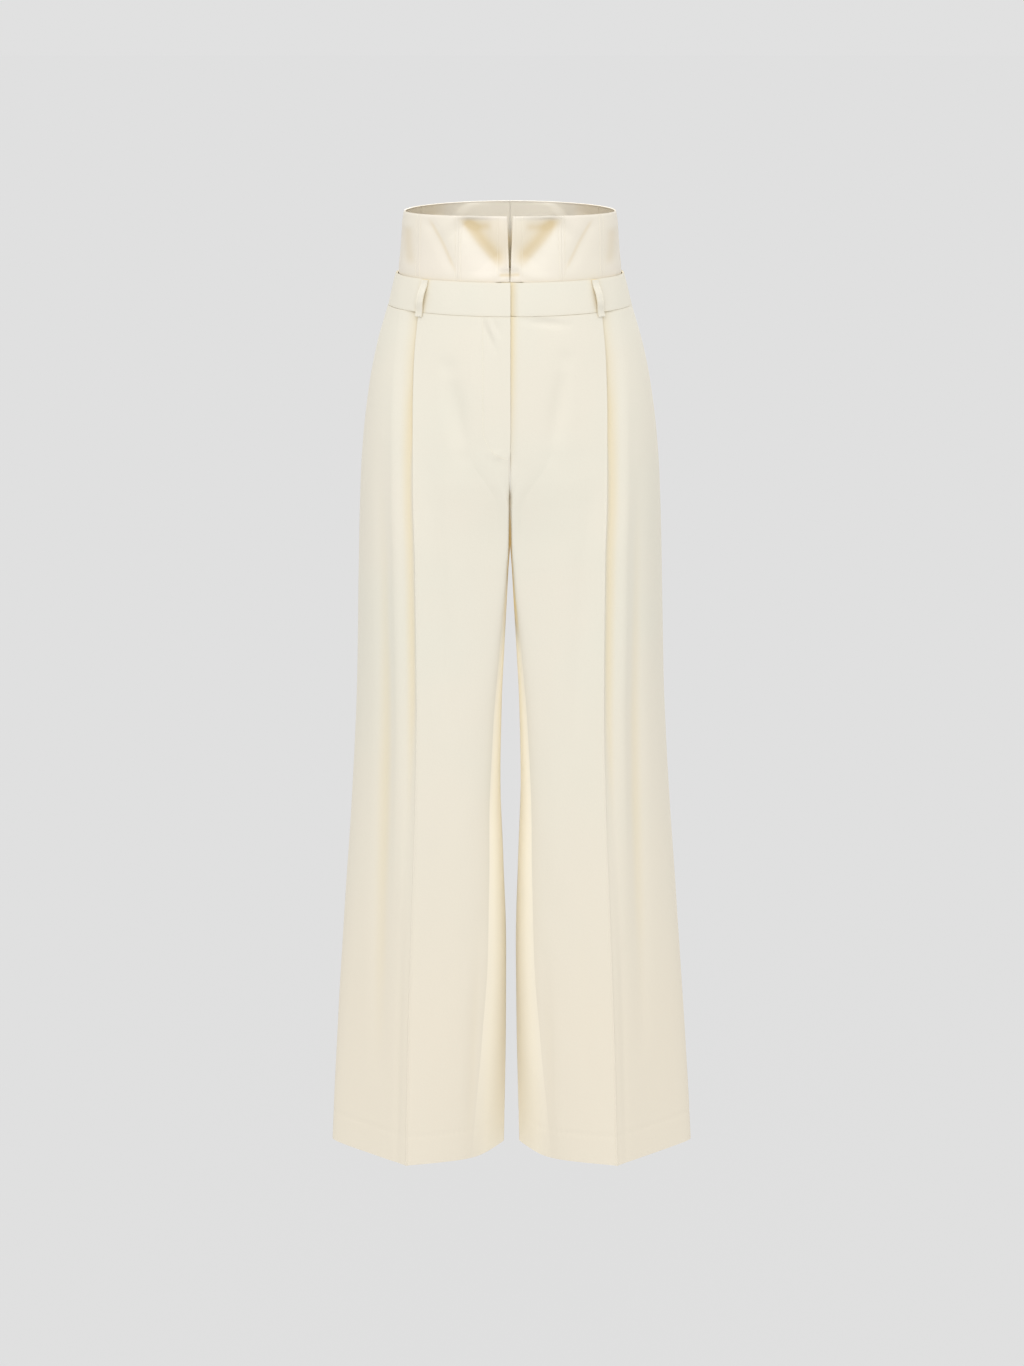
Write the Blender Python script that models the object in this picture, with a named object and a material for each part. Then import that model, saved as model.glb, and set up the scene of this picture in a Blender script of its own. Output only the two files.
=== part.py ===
"""High-waisted wide-leg trousers with a boned corset waist, worn shape, hollow.

Metres, +Z up. The origin is the middle of the waist, level with the top edge of the waistband, where the
wearer holds the garment up. The front faces -Y, and the wearer's left is at +X.
"""

import math

import bmesh
import bpy
import numpy as np

SEAM = 0.0003  # clearance between two pieces that are sewn together
TROUSER_CLOTH = 0.0012
BAND_CLOTH = 0.0026
CORSET_CLOTH = 0.0020
LOOP_CLOTH = 0.0014

HEM = -1.150
CROTCH = -0.350
SWAY_AT_HEM = 0.0020  # the hem hangs a little to the wearer's left

# Waistband: its outer ring at the top and bottom edge.
BAND_TOP = 0.000
BAND_BOTTOM = -0.0395
BAND_TOP_DIP = 0.0010  # how much lower the edges lie at the centre front
BAND_BOTTOM_DIP = 0.0018
BAND_DIP_FADES_AT = -0.085  # height below which the dip no longer bends the front panels
WAIST_ROUND_TO = -0.200  # the sections turn from an oval at the waistband into their own shape down to here

# The outer ring of the waist: z, distance of the centre front and of the centre back from the side plane.
WAIST_DEPTHS = (
    (0.0000, 0.0990, 0.1012),
    (-0.0395, 0.1060, 0.1100),
    (-0.1000, 0.1130, 0.1210),
    (-0.1600, 0.1170, 0.1300),
    (-0.2100, 0.1185, 0.1325),
    (-0.2450, 0.1180, 0.1310),
)

# The side seam: z, x, y.
SIDE_LINE = (
    (0.0000, 0.1413, 0.000),
    (-0.0395, 0.1512, 0.000),
    (-0.0850, 0.1645, 0.000),
    (-0.1350, 0.1750, 0.000),
    (-0.2000, 0.1836, 0.000),
    (-0.2620, 0.1885, 0.002),
    (-0.3650, 0.1923, 0.004),
    (-0.5230, 0.1964, 0.004),
    (-0.6560, 0.2038, 0.002),
    (-0.8190, 0.2160, 0.000),
    (-0.9850, 0.2278, -0.002),
    (-1.0980, 0.2352, -0.002),
    (-1.1500, 0.2382, -0.002),
)

# In the tables below a depth is measured from the side plane towards the front or the back.
# The inner edge of a front panel, down the centre front, round the crotch and down the inseam: z, x, depth.
FRONT_EDGE = (
    (-0.0395, 0.0000, 0.1060),
    (-0.1000, 0.0000, 0.1130),
    (-0.1600, 0.0000, 0.1170),
    (-0.2100, 0.0000, 0.1185),
    (-0.2450, 0.0000, 0.1180),
    (-0.2620, 0.0000, 0.1140),
    (-0.2800, 0.0000, 0.1060),
    (-0.3000, 0.0000, 0.0900),
    (-0.3200, 0.0000, 0.0640),
    (-0.3370, 0.0000, 0.0300),
    (-0.3460, 0.0000, 0.0020),
    (-0.3500, 0.0000, -0.0200),
    (-0.3650, 0.0015, -0.0190),
    (-0.4180, 0.0045, -0.0160),
    (-0.4700, 0.0073, -0.0120),
    (-0.5490, 0.0112, -0.0080),
    (-0.6550, 0.0132, -0.0030),
    (-0.7650, 0.0095, 0.0010),
    (-0.8740, 0.0062, 0.0050),
    (-0.9850, 0.0067, 0.0090),
    (-1.1500, 0.0096, 0.0120),
)

# The inner edge of a back panel.
BACK_EDGE = (
    (-0.0395, 0.0000, 0.1100),
    (-0.1000, 0.0000, 0.1210),
    (-0.1600, 0.0000, 0.1300),
    (-0.2100, 0.0000, 0.1325),
    (-0.2400, 0.0000, 0.1310),
    (-0.2620, 0.0000, 0.1240),
    (-0.2850, 0.0000, 0.1110),
    (-0.3050, 0.0000, 0.0920),
    (-0.3250, 0.0000, 0.0670),
    (-0.3400, 0.0000, 0.0430),
    (-0.3500, 0.0000, 0.0200),
    (-0.3650, 0.0015, 0.0190),
    (-0.4180, 0.0045, 0.0160),
    (-0.4700, 0.0073, 0.0120),
    (-0.5490, 0.0112, 0.0080),
    (-0.6550, 0.0132, 0.0030),
    (-0.7650, 0.0095, -0.0010),
    (-0.8740, 0.0062, -0.0050),
    (-0.9850, 0.0067, -0.0090),
    (-1.1500, 0.0096, -0.0120),
)

# The corner that the cloth turns round between its inner edge and the crease: z, x, depth, sharpness.
FRONT_BEND = (
    (-0.0395, 0.0580, 0.1075, 1.0),
    (-0.2100, 0.0600, 0.1190, 1.0),
    (-0.2450, 0.0400, 0.1190, 1.0),
    (-0.2620, 0.0060, 0.1180, 4.0),
    (-0.2800, 0.0025, 0.1160, 10.0),
    (-0.3200, 0.0024, 0.1120, 12.0),
    (-0.3650, 0.0034, 0.1100, 9.0),
    (-0.4180, 0.0055, 0.1090, 5.0),
    (-0.4700, 0.0078, 0.1080, 3.0),
    (-0.5490, 0.0115, 0.1070, 1.9),
    (-0.6560, 0.0132, 0.1060, 1.4),
    (-0.7650, 0.0095, 0.1040, 1.1),
    (-0.8740, 0.0062, 0.1020, 0.90),
    (-1.1500, 0.0096, 0.0990, 0.65),
)
BACK_BEND = (
    (-0.0395, 0.0550, 0.1120, 1.0),
    (-0.2100, 0.0600, 0.1350, 1.0),
    (-0.2400, 0.0450, 0.1340, 1.0),
    (-0.2620, 0.0080, 0.1340, 3.0),
    (-0.2850, 0.0040, 0.1320, 6.0),
    (-0.3250, 0.0030, 0.1265, 7.0),
    (-0.3650, 0.0040, 0.1215, 5.0),
    (-0.4180, 0.0060, 0.1175, 3.5),
    (-0.4700, 0.0078, 0.1155, 2.6),
    (-0.5490, 0.0115, 0.1120, 1.8),
    (-0.6560, 0.0132, 0.1080, 1.4),
    (-0.7650, 0.0095, 0.1060, 1.1),
    (-0.8740, 0.0062, 0.1035, 0.90),
    (-1.1500, 0.0096, 0.1010, 0.65),
)

# The pressed crease: z, x, depth, then the depth and sharpness of the corner between it and the side seam.
FRONT_CREASE = (
    (-0.0395, 0.1120, 0.0713, 0.050, 0.80),
    (-0.1030, 0.1175, 0.0840, 0.058, 0.80),
    (-0.1640, 0.1190, 0.0930, 0.065, 0.80),
    (-0.2630, 0.1190, 0.1020, 0.072, 0.80),
    (-0.3500, 0.1170, 0.1070, 0.075, 0.80),
    (-0.5160, 0.1165, 0.1080, 0.068, 0.85),
    (-0.6560, 0.1195, 0.1065, 0.055, 1.00),
    (-0.8190, 0.1260, 0.1035, 0.038, 1.40),
    (-0.9850, 0.1325, 0.1005, 0.022, 2.00),
    (-1.1500, 0.1372, 0.0975, 0.012, 2.50),
)
BACK_CREASE = (
    (-0.0395, 0.1010, 0.0819, 0.055, 0.80),
    (-0.1030, 0.1060, 0.1010, 0.072, 0.80),
    (-0.1640, 0.1090, 0.1180, 0.086, 0.80),
    (-0.2300, 0.1110, 0.1275, 0.092, 0.80),
    (-0.3000, 0.1120, 0.1280, 0.090, 0.80),
    (-0.3500, 0.1125, 0.1240, 0.085, 0.80),
    (-0.4300, 0.1130, 0.1180, 0.078, 0.85),
    (-0.5600, 0.1150, 0.1120, 0.066, 0.90),
    (-0.7000, 0.1190, 0.1080, 0.052, 1.10),
    (-0.8500, 0.1265, 0.1050, 0.036, 1.40),
    (-1.0000, 0.1325, 0.1020, 0.022, 2.00),
    (-1.1500, 0.1372, 0.1000, 0.012, 2.50),
)

# The heights of the sections through the trousers.
FRONT_LEVELS = (
    -0.0398, -0.060, -0.085, -0.115, -0.150, -0.180, -0.200, -0.213, -0.228, -0.245, -0.262, -0.280, -0.300,
    -0.320, -0.337, -0.346, -0.350, -0.375, -0.418, -0.470, -0.540, -0.620, -0.710, -0.800, -0.890, -0.985,
    -1.075, -1.150,
)
BACK_LEVELS = (
    -0.0398, -0.070, -0.110, -0.155, -0.200, -0.240, -0.262, -0.285, -0.305, -0.325, -0.340, -0.350, -0.380,
    -0.425, -0.480, -0.550, -0.630, -0.720, -0.810, -0.900, -0.985, -1.075, -1.150,
)

# The front pleat, as the points that the cloth passes after the fold's edge: distance outwards and depth
# inwards. It is folded under at the waist, stands upright as it opens, and ends as a pressed crease over a
# soft groove.
PLEAT_STATES = {
    "folded": (
        (0.0006, 0.0005), (0.0011, 0.0016), (0.0005, 0.0029), (-0.0160, 0.0033),
        (-0.0167, 0.0038), (-0.0160, 0.0043), (0.0010, 0.0044), (0.0090, 0.0030),
    ),
    "short": (
        (0.0006, 0.0005), (0.0011, 0.0016), (0.0005, 0.0029), (-0.0040, 0.0034),
        (-0.0048, 0.0041), (-0.0040, 0.0048), (0.0015, 0.0050), (0.0090, 0.0034),
    ),
    "upright": (
        (0.0007, 0.0005), (0.0012, 0.0016), (0.0012, 0.0029), (0.0012, 0.0040),
        (0.0019, 0.0050), (0.0033, 0.0055), (0.0062, 0.0052), (0.0120, 0.0035),
    ),
    "open": (
        (0.0008, 0.0005), (0.0018, 0.0014), (0.0030, 0.0025), (0.0045, 0.0035),
        (0.0062, 0.0042), (0.0085, 0.0046), (0.0120, 0.0040), (0.0180, 0.0028),
    ),
    "pressed": (
        (0.0020, 0.0000), (0.0040, 0.0000), (0.0060, 0.0000), (0.0090, 0.0000),
        (0.0120, 0.0000), (0.0160, 0.0000), (0.0210, 0.0000), (0.0280, 0.0000),
    ),
}
# Height and state.
PLEAT_OPENING = (
    (-0.060, "folded"),
    (-0.115, "short"),
    (-0.165, "upright"),
    (-0.240, "open"),
    (-0.420, "open"),
    (-0.860, "pressed"),
)
PLEAT_END = 0.032  # past this distance from the crease the cloth is plain again

# Columns of points across the trouser panels: 0 is the inner edge, 1 the corner, 2 the crease, and then
# shares of the way on to the side seam.
FRONT_INNER_COLUMNS = (0.0, 0.11, 0.32, 0.56, 0.80, 1.0, 1.14, 1.30, 1.48, 1.66, 1.84, 2.0)
FRONT_OUTER_COLUMNS = (0.0, 0.18, 0.38, 0.58, 0.80, 1.0)
BACK_INNER_COLUMNS = (0.0, 0.18, 0.42, 0.70, 1.0, 1.20, 1.40, 1.60, 1.80, 2.0)
BACK_OUTER_COLUMNS = (0.12, 0.28, 0.46, 0.64, 0.82, 1.0)

# Soft folds of a leg: top and low z, distance from the crease there (outwards is plus), width, depth inwards.
FRONT_FOLDS = (
    (-0.10, -0.86, 0.027, 0.024, 0.010, -0.0028),
    (-0.22, -0.98, 0.052, 0.050, 0.013, 0.0030),
    (-0.24, -0.60, -0.022, -0.036, 0.011, 0.0018),
    (-0.32, -0.80, -0.056, -0.066, 0.016, -0.0016),
)
BACK_FOLDS = (
    (-0.24, -0.82, 0.030, 0.026, 0.014, 0.0026),
    (-0.34, -0.94, 0.058, 0.054, 0.014, -0.0022),
    (-0.30, -0.70, -0.040, -0.050, 0.016, 0.0022),
)

FOLDS_END = 0.8  # share of the way to the side seam past which they fade out
FOLDS_PAST_PLEAT = (0.006, 0.020)  # distance past the fold's edge over which they fade in
FOLDS_PAST_INSEAM = 0.4

# Fly: the wearer's right front lies over the left front, down to the end of the opening.
FLY_OVER = 0.0006  # the upper edge reaches this far past the centre
FLY_UNDER = 0.0080  # the lower edge reaches this far under it
FLY_STEP = 0.0018  # how much deeper the lower layer lies
FLY_RAMP = (0.0130, 0.0020)  # distance from the centre where it starts to sink, and where it is down
FLY_FULL_TO = -0.180
FLY_END = -0.213
FLY_STEP_END = -0.240
BAND_STEP = 0.0032
BAND_UNDER = 0.0100
BAND_ENDS = {1: (-BAND_UNDER, 0.0015, 0.0100), -1: (-FLY_OVER, 0.0050)}  # x of the first columns on each side
BAND_COLUMNS = 29
BAND_CROWDING = 1.25  # above 1 the columns stand closer at the front

# Corset: its outer ring, z, half width, centre front and centre back distance.
CORSET_RING = (
    (0.0780, 0.1308, 0.0900, 0.0940),
    (0.0550, 0.1340, 0.0925, 0.0955),
    (0.0300, 0.1358, 0.0940, 0.0965),
    (0.0000, 0.1380, 0.0957, 0.0979),
    (-0.0050, 0.1380, 0.0957, 0.0979),
)
CORSET_TOP = 0.076
CORSET_TOP_RISE = 0.002  # the top edge is higher at the centre front and centre back
CORSET_TUCK = -0.005  # its lower edge, inside the waistband
CORSET_TUCK_AT_FRONT = -0.0004
CORSET_TUCK_RAMP = (0.014, 0.026)  # distance from the centre front where the tuck begins and is full
NOTCH_TOP = 0.0032  # half the width of the centre front notch at the top, and at the waistband
NOTCH_BOTTOM = 0.0004
CHANNEL = 0.0030  # half the width of a boning channel
CHANNEL_RISE = 0.0005
CHANNEL_SLOPE = 0.0010
CHANNEL_FADE = 0.006  # height above the waistband over which it rises
CORSET_ROWS = 7
CORSET_SPAN = 6.5  # degrees between its columns of points
ARC_STEPS = 24

# The corset's seams: angle round from the centre front at the top edge and at the waistband, and its panels.
CORSET_SEAMS = {
    "centre_front": (0.0, 0.0),
    "princess": (28.8, 27.2),
    "side_front": (57.5, 54.5),
    "side_back": (122.0, 125.0),
    "centre_back": (180.0, 180.0),
}
CORSET_PANELS = (
    ("corset_front", "centre_front", "princess"),
    ("corset_side_front", "princess", "side_front"),
    ("corset_side", "side_front", "side_back"),
    ("corset_back", "side_back", "centre_back"),
)
# Drag lines in the satin: x and z of both ends, width, depth inwards.
CORSET_FOLDS = (
    (0.060, 0.074, 0.008, 0.014, 0.0085, 0.0022),
    (0.103, 0.066, 0.072, 0.006, 0.0050, 0.0012),
)

CORSET_FOLD_FADE = 0.012

# Belt loops: angle round from the centre front.
LOOPS = (
    ("belt_loop_front_right", -46.8),
    ("belt_loop_front_left", 46.8),
    ("belt_loop_back_right", -130.0),
    ("belt_loop_back_left", 130.0),
    ("belt_loop_centre_back", 180.0),
)
LOOP_WIDTH = 0.010
LOOP_TOP = -0.0012
LOOP_BOTTOM = -0.0455
LOOP_FLAT = 0.0035  # each end lies flat for this far
LOOP_FULL = 0.016  # and past here it stands off fully
LOOP_BOW = 0.0056  # the gap that a belt passes through
LOOP_ROWS = 11
LOOP_ACROSS = (-0.5, -0.4, 0.4, 0.5)

DENSE = 81  # points of the curves that a section is read from
LEAST_MITRE = 0.6
CORNER_FOCUS = 8


def smooth(value, start, end):
    """0 before start, 1 after end and a smooth step between them."""
    share = np.clip((value - start) / (end - start), 0.0, 1.0)
    return share * share * (3 - 2 * share)


def along(table, z):
    """The columns of a table at height z, on a smooth curve that doesn't overshoot its rows."""
    rows = np.array(table)[::-1] if table[0][0] > table[-1][0] else np.array(table)
    heights, values = rows[:, 0], rows[:, 1:]
    steps = np.diff(heights)[:, None]
    slopes = np.diff(values, axis=0) / steps
    tangents = np.zeros_like(values)
    inner = slopes[:-1] * slopes[1:]
    mean = 2 * inner / np.where(inner > 0, slopes[:-1] + slopes[1:], 1.0)
    tangents[1:-1] = np.where(inner > 0, mean, 0.0)
    tangents[0], tangents[-1] = slopes[0], slopes[-1]
    z = min(max(z, heights[0]), heights[-1])
    i = min(int(np.searchsorted(heights, z, side="right")) - 1, len(heights) - 2)
    t, step = (z - heights[i]) / steps[i, 0], steps[i, 0]
    return (
        values[i] * (1 + 2 * t) * (1 - t) ** 2
        + values[i + 1] * t * t * (3 - 2 * t)
        + tangents[i] * step * t * (1 - t) ** 2
        - tangents[i + 1] * step * t * t * (1 - t)
    )


def evenly(points):
    """The same curve with its points evenly spaced along it."""
    far = np.concatenate([[0.0], np.cumsum(np.linalg.norm(np.diff(points, axis=0), axis=1))])
    at = np.linspace(0.0, far[-1], DENSE)
    return np.column_stack([np.interp(at, far, points[:, i]) for i in range(points.shape[1])])


def turn(start, corner, end, sharpness):
    """A conic arc from start to end round a corner, tighter the sharper it is."""
    t = np.linspace(0.0, 1.0, DENSE)[:, None]
    a, b, c = (1 - t) ** 2, 2 * sharpness * t * (1 - t), t * t
    return evenly((a * start + b * corner + c * end) / (a + b + c))


def ring(half_width, depth, start, end):
    """Part of an oval, from one angle to another, as x and depth."""
    angles = np.radians(np.linspace(start, end, DENSE))
    return evenly(np.column_stack([half_width * np.sin(angles), depth * np.cos(angles)]))


def half_section(z, facing):
    """The outline of a front or back panel at height z: from its inner edge to the crease, and on to the side
    seam. Columns are x and depth."""
    edge_table, bend_table, crease_table = (
        (FRONT_EDGE, FRONT_BEND, FRONT_CREASE) if facing < 0 else (BACK_EDGE, BACK_BEND, BACK_CREASE)
    )
    edge = along(edge_table, z)
    bend_x, bend_depth, bend_sharpness = along(bend_table, z)
    crease_x, crease_depth, hip_depth, hip_sharpness = along(crease_table, z)
    side_x, side_y = along(SIDE_LINE, z)
    crease, side = np.array([crease_x, crease_depth]), np.array([side_x, facing * side_y])
    inner = turn(edge, np.array([bend_x, bend_depth]), crease, bend_sharpness)
    outer = turn(crease, np.array([side_x, hip_depth]), side, hip_sharpness)
    waist = float(smooth(z, WAIST_ROUND_TO, BAND_BOTTOM))
    if waist > 0:
        crease_angle = math.degrees(math.asin(crease_x / side_x))
        depth = along(WAIST_DEPTHS, z)[0 if facing < 0 else 1]
        inner = (1 - waist) * inner + waist * ring(side_x, depth, 0.0, crease_angle)
        outer = (1 - waist) * outer + waist * ring(side_x, depth, crease_angle, 90.0)
    return inner, outer


class Outline:
    """A section's outline, read by the distance from the crease: minus towards the inner edge."""

    def __init__(self, inner, outer):
        self.points = np.concatenate([inner, outer[1:]])
        steps = np.linalg.norm(np.diff(self.points, axis=0), axis=1)
        far = np.concatenate([[0.0], np.cumsum(steps)])
        self.inner_length = far[len(inner) - 1]
        self.outer_length = far[-1] - self.inner_length
        self.far = far - self.inner_length
        chord = (inner[-1] - inner[0]) / np.linalg.norm(inner[-1] - inner[0])
        away = (inner - inner[0]) @ np.array([-chord[1], chord[0]])
        weight = np.maximum(away, 0.0) ** CORNER_FOCUS
        self.corner = float((self.far[: len(inner)] * weight).sum() / weight.sum())
        ways = np.gradient(self.points, self.far, axis=0)
        ways /= np.linalg.norm(ways, axis=1)[:, None]
        self.first_way, self.last_way = ways[0], ways[-1]
        self.inwards = np.column_stack([ways[:, 1], -ways[:, 0]])

    def between(self, start, share):
        """A distance from the crease: share 0 is the start, 1 the corner of the inner cloth, 2 the crease."""
        return start + (self.corner - start) * share if share < 1 else self.corner * (2 - share)

    def at(self, far, inwards=0.0):
        point = [np.interp(far, self.far, self.points[:, i]) for i in (0, 1)]
        normal = np.array([np.interp(far, self.far, self.inwards[:, i]) for i in (0, 1)])
        return np.array(point) + normal / np.linalg.norm(normal) * inwards


def fold_depth(folds, z, far):
    """How far the soft folds push the cloth inwards at height z and this distance from the crease."""
    total = 0.0
    for top, low, far_top, far_low, width, depth in folds:
        share = (top - z) / (top - low)
        if 0 < share < 1:
            centre = far_top + (far_low - far_top) * share
            fade = math.sin(math.pi * share) ** 0.7
            total += depth * fade * math.exp(-(((far - centre) / width) ** 2))
    return total


def pleat_points(z):
    """Distance and depth of the points past the fold's edge at height z."""
    points = np.array(PLEAT_STATES[PLEAT_OPENING[0][1]])
    for (top, _), (low, state) in zip(PLEAT_OPENING, PLEAT_OPENING[1:]):
        points = points + (np.array(PLEAT_STATES[state]) - points) * float(smooth(z, top, low))
    return points


def fly_edge(z, over):
    """Where the centre front edge of the upper or lower layer lies: distance past the centre, and depth."""
    fade = 1 - float(smooth(z, FLY_FULL_TO, FLY_END))
    if over:
        return FLY_OVER * fade - SEAM / 2 * (1 - fade), 0.0
    step = FLY_STEP * (1 - float(smooth(z, FLY_END, FLY_STEP_END)))
    return FLY_UNDER * fade - SEAM / 2 * (1 - fade), step


def placed(x, depth, z, side, facing):
    """A point of the garment from its x and depth on the wearer's left."""
    return (side * x + SWAY_AT_HEM * (z / HEM) ** 2, facing * depth, z)


def thickened(row, thickness, first_way=None, last_way=None):
    """A row of x and depth moved inwards by the cloth's thickness. The ways are the row's directions at its
    ends, given where it meets another piece."""
    row = np.array(row)
    ways = np.diff(row, axis=0)
    ways /= np.linalg.norm(ways, axis=1)[:, None]
    before, after = np.vstack([ways[0], ways]), np.vstack([ways, ways[-1]])
    mean = before + after
    mean /= np.linalg.norm(mean, axis=1)[:, None]
    if first_way is not None:
        mean[0] = before[0] = first_way
    if last_way is not None:
        mean[-1] = before[-1] = last_way
    mitre = np.maximum((before * mean).sum(axis=1), LEAST_MITRE)
    return row + np.column_stack([mean[:, 1], -mean[:, 0]]) * (thickness / mitre)[:, None]


def front_dip(x, deepest):
    """How much lower an edge of the waistband lies than at the side seam, by its distance from the centre."""
    return deepest * max(1 - (x / SIDE_LINE[1][1]) ** 2, 0.0)


def panel_sides(rows, side, facing):
    """The outer and inner points of a trouser panel, from rows of z, the outer and the inner x and depth."""
    outer, inner = [], []
    for z, outside, inside in rows:
        dip = BAND_BOTTOM_DIP * float(smooth(z, BAND_DIP_FADES_AT, BAND_BOTTOM)) if facing < 0 else 0.0
        outer.append([placed(x, depth, z - front_dip(x, dip), side, facing) for x, depth in outside])
        inner.append([placed(x, depth, z - front_dip(x, dip), side, facing) for x, depth in inside])
    return outer, inner


def front_panel(side):
    """A front panel, one row for each level, from the centre front or inseam to the side seam."""
    rows = []
    for z in FRONT_LEVELS:
        outline = Outline(*half_section(z, -1))
        past_centre, sunk = fly_edge(z, over=side < 0)
        has_fly = z > FLY_END
        inseam = SEAM / 2 if z <= CROTCH else 0.0
        start = -outline.inner_length + (-past_centre if has_fly else inseam)
        row = []
        for share in FRONT_INNER_COLUMNS:
            far = outline.between(start, share)
            from_centre = far + outline.inner_length
            sink = sunk * float(smooth(from_centre, *FLY_RAMP)) + fold_depth(FRONT_FOLDS, z, far)
            x, depth = outline.at(abs(from_centre) - outline.inner_length, sink)
            row.append((from_centre if from_centre < 0 else max(x, SEAM / 2), depth))
        for far, deep in pleat_points(z):
            fold = fold_depth(FRONT_FOLDS, z, far) * float(smooth(far, *FOLDS_PAST_PLEAT))
            row.append(outline.at(far, deep + fold))
        last = outline.outer_length - SEAM / 2
        for share in FRONT_OUTER_COLUMNS:
            far = PLEAT_END + (last - PLEAT_END) * share
            fold = fold_depth(FRONT_FOLDS, z, far) * float(smooth(share, 1.0, FOLDS_END))
            row.append(outline.at(far, fold))
        inside = thickened(row, TROUSER_CLOTH, None if has_fly else outline.first_way, outline.last_way)
        rows.append((z, row, inside))
    return panel_sides(rows, side, -1)


def back_panel(side):
    """A back panel, from the centre back or inseam to the side seam."""
    rows = []
    for z in BACK_LEVELS:
        outline = Outline(*half_section(z, 1))
        inseam = SEAM / 2 if z <= CROTCH else 0.0
        row = []
        for share in BACK_INNER_COLUMNS:
            far = outline.between(inseam - outline.inner_length, share)
            fold = fold_depth(BACK_FOLDS, z, far) * float(smooth(share, 0.0, FOLDS_PAST_INSEAM))
            x, depth = outline.at(far, fold)
            row.append((max(x, SEAM / 2), depth))
        for share in BACK_OUTER_COLUMNS:
            far = (outline.outer_length - SEAM / 2) * share
            fold = fold_depth(BACK_FOLDS, z, far) * float(smooth(share, 1.0, FOLDS_END))
            row.append(outline.at(far, fold))
        rows.append((z, row, thickened(row, TROUSER_CLOTH, outline.first_way, outline.last_way)))
    return panel_sides(rows, side, 1)


def waist_point(z, angle):
    """A point of the waist's outer ring as x and depth, and the way outwards there. The angle runs from the
    centre front."""
    half_width, _ = along(SIDE_LINE, z)
    front, back = along(WAIST_DEPTHS, z)
    depth = front if abs(angle) < 90 else back
    turned = math.radians(angle)
    point = np.array([half_width * math.sin(turned), depth * math.cos(turned)])
    outwards = np.array([math.sin(turned) / half_width, math.cos(turned) / depth])
    return point, outwards / np.linalg.norm(outwards)


def waistband(side):
    """Half the waistband, from its centre front end to the centre back."""
    ends = BAND_ENDS[side]
    outer, inner = [], []
    for share in (0.0, 0.5, 1.0):
        level = BAND_TOP + (BAND_BOTTOM - BAND_TOP) * share
        row, heights = [], []
        for i in range(BAND_COLUMNS):
            angle = 180.0 * (i / (BAND_COLUMNS - 1)) ** BAND_CROWDING
            if i < len(ends):
                angle = math.degrees(ends[i] / along(SIDE_LINE, level)[0])
            point, outwards = waist_point(level, angle)
            dip = BAND_TOP_DIP + (BAND_BOTTOM_DIP - BAND_TOP_DIP) * share
            heights.append(level - (front_dip(point[0], dip) if angle < 90 else 0.0))
            if side > 0 and angle < 90:
                point -= outwards * BAND_STEP * float(smooth(point[0], *FLY_RAMP))
            if i == BAND_COLUMNS - 1:
                point[0] = SEAM / 2
            row.append(point)
        inside = thickened(row, BAND_CLOTH, last_way=(-1.0, 0.0))
        outer.append([(side * x, -depth, z) for (x, depth), z in zip(row, heights)])
        inner.append([(side * x, -depth, z) for (x, depth), z in zip(inside, heights)])
    return outer, inner


def corset_point(z, angle, sink):
    """A point of the corset's ring as x and depth, moved inwards by sink."""
    half_width, front, back = along(CORSET_RING, z)
    depth = front if angle < 90 else back
    turned = math.radians(angle)
    outwards = np.array([math.sin(turned) / half_width, math.cos(turned) / depth])
    outwards /= np.linalg.norm(outwards)
    return np.array([half_width * math.sin(turned), depth * math.cos(turned)]) - outwards * sink


def corset_fold(x, z):
    """How far the drag lines push the satin inwards."""
    total = 0.0
    for x1, z1, x2, z2, width, depth in CORSET_FOLDS:
        line = np.array([x2 - x1, z2 - z1])
        share = float(np.clip(((x - x1) * line[0] + (z - z1) * line[1]) / (line @ line), 0.0, 1.0))
        away = math.hypot(x - x1 - share * line[0], z - z1 - share * line[1])
        total += depth * math.exp(-((away / width) ** 2)) * math.sin(math.pi * min(max(share, 0.12), 0.9))
    return total


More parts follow.
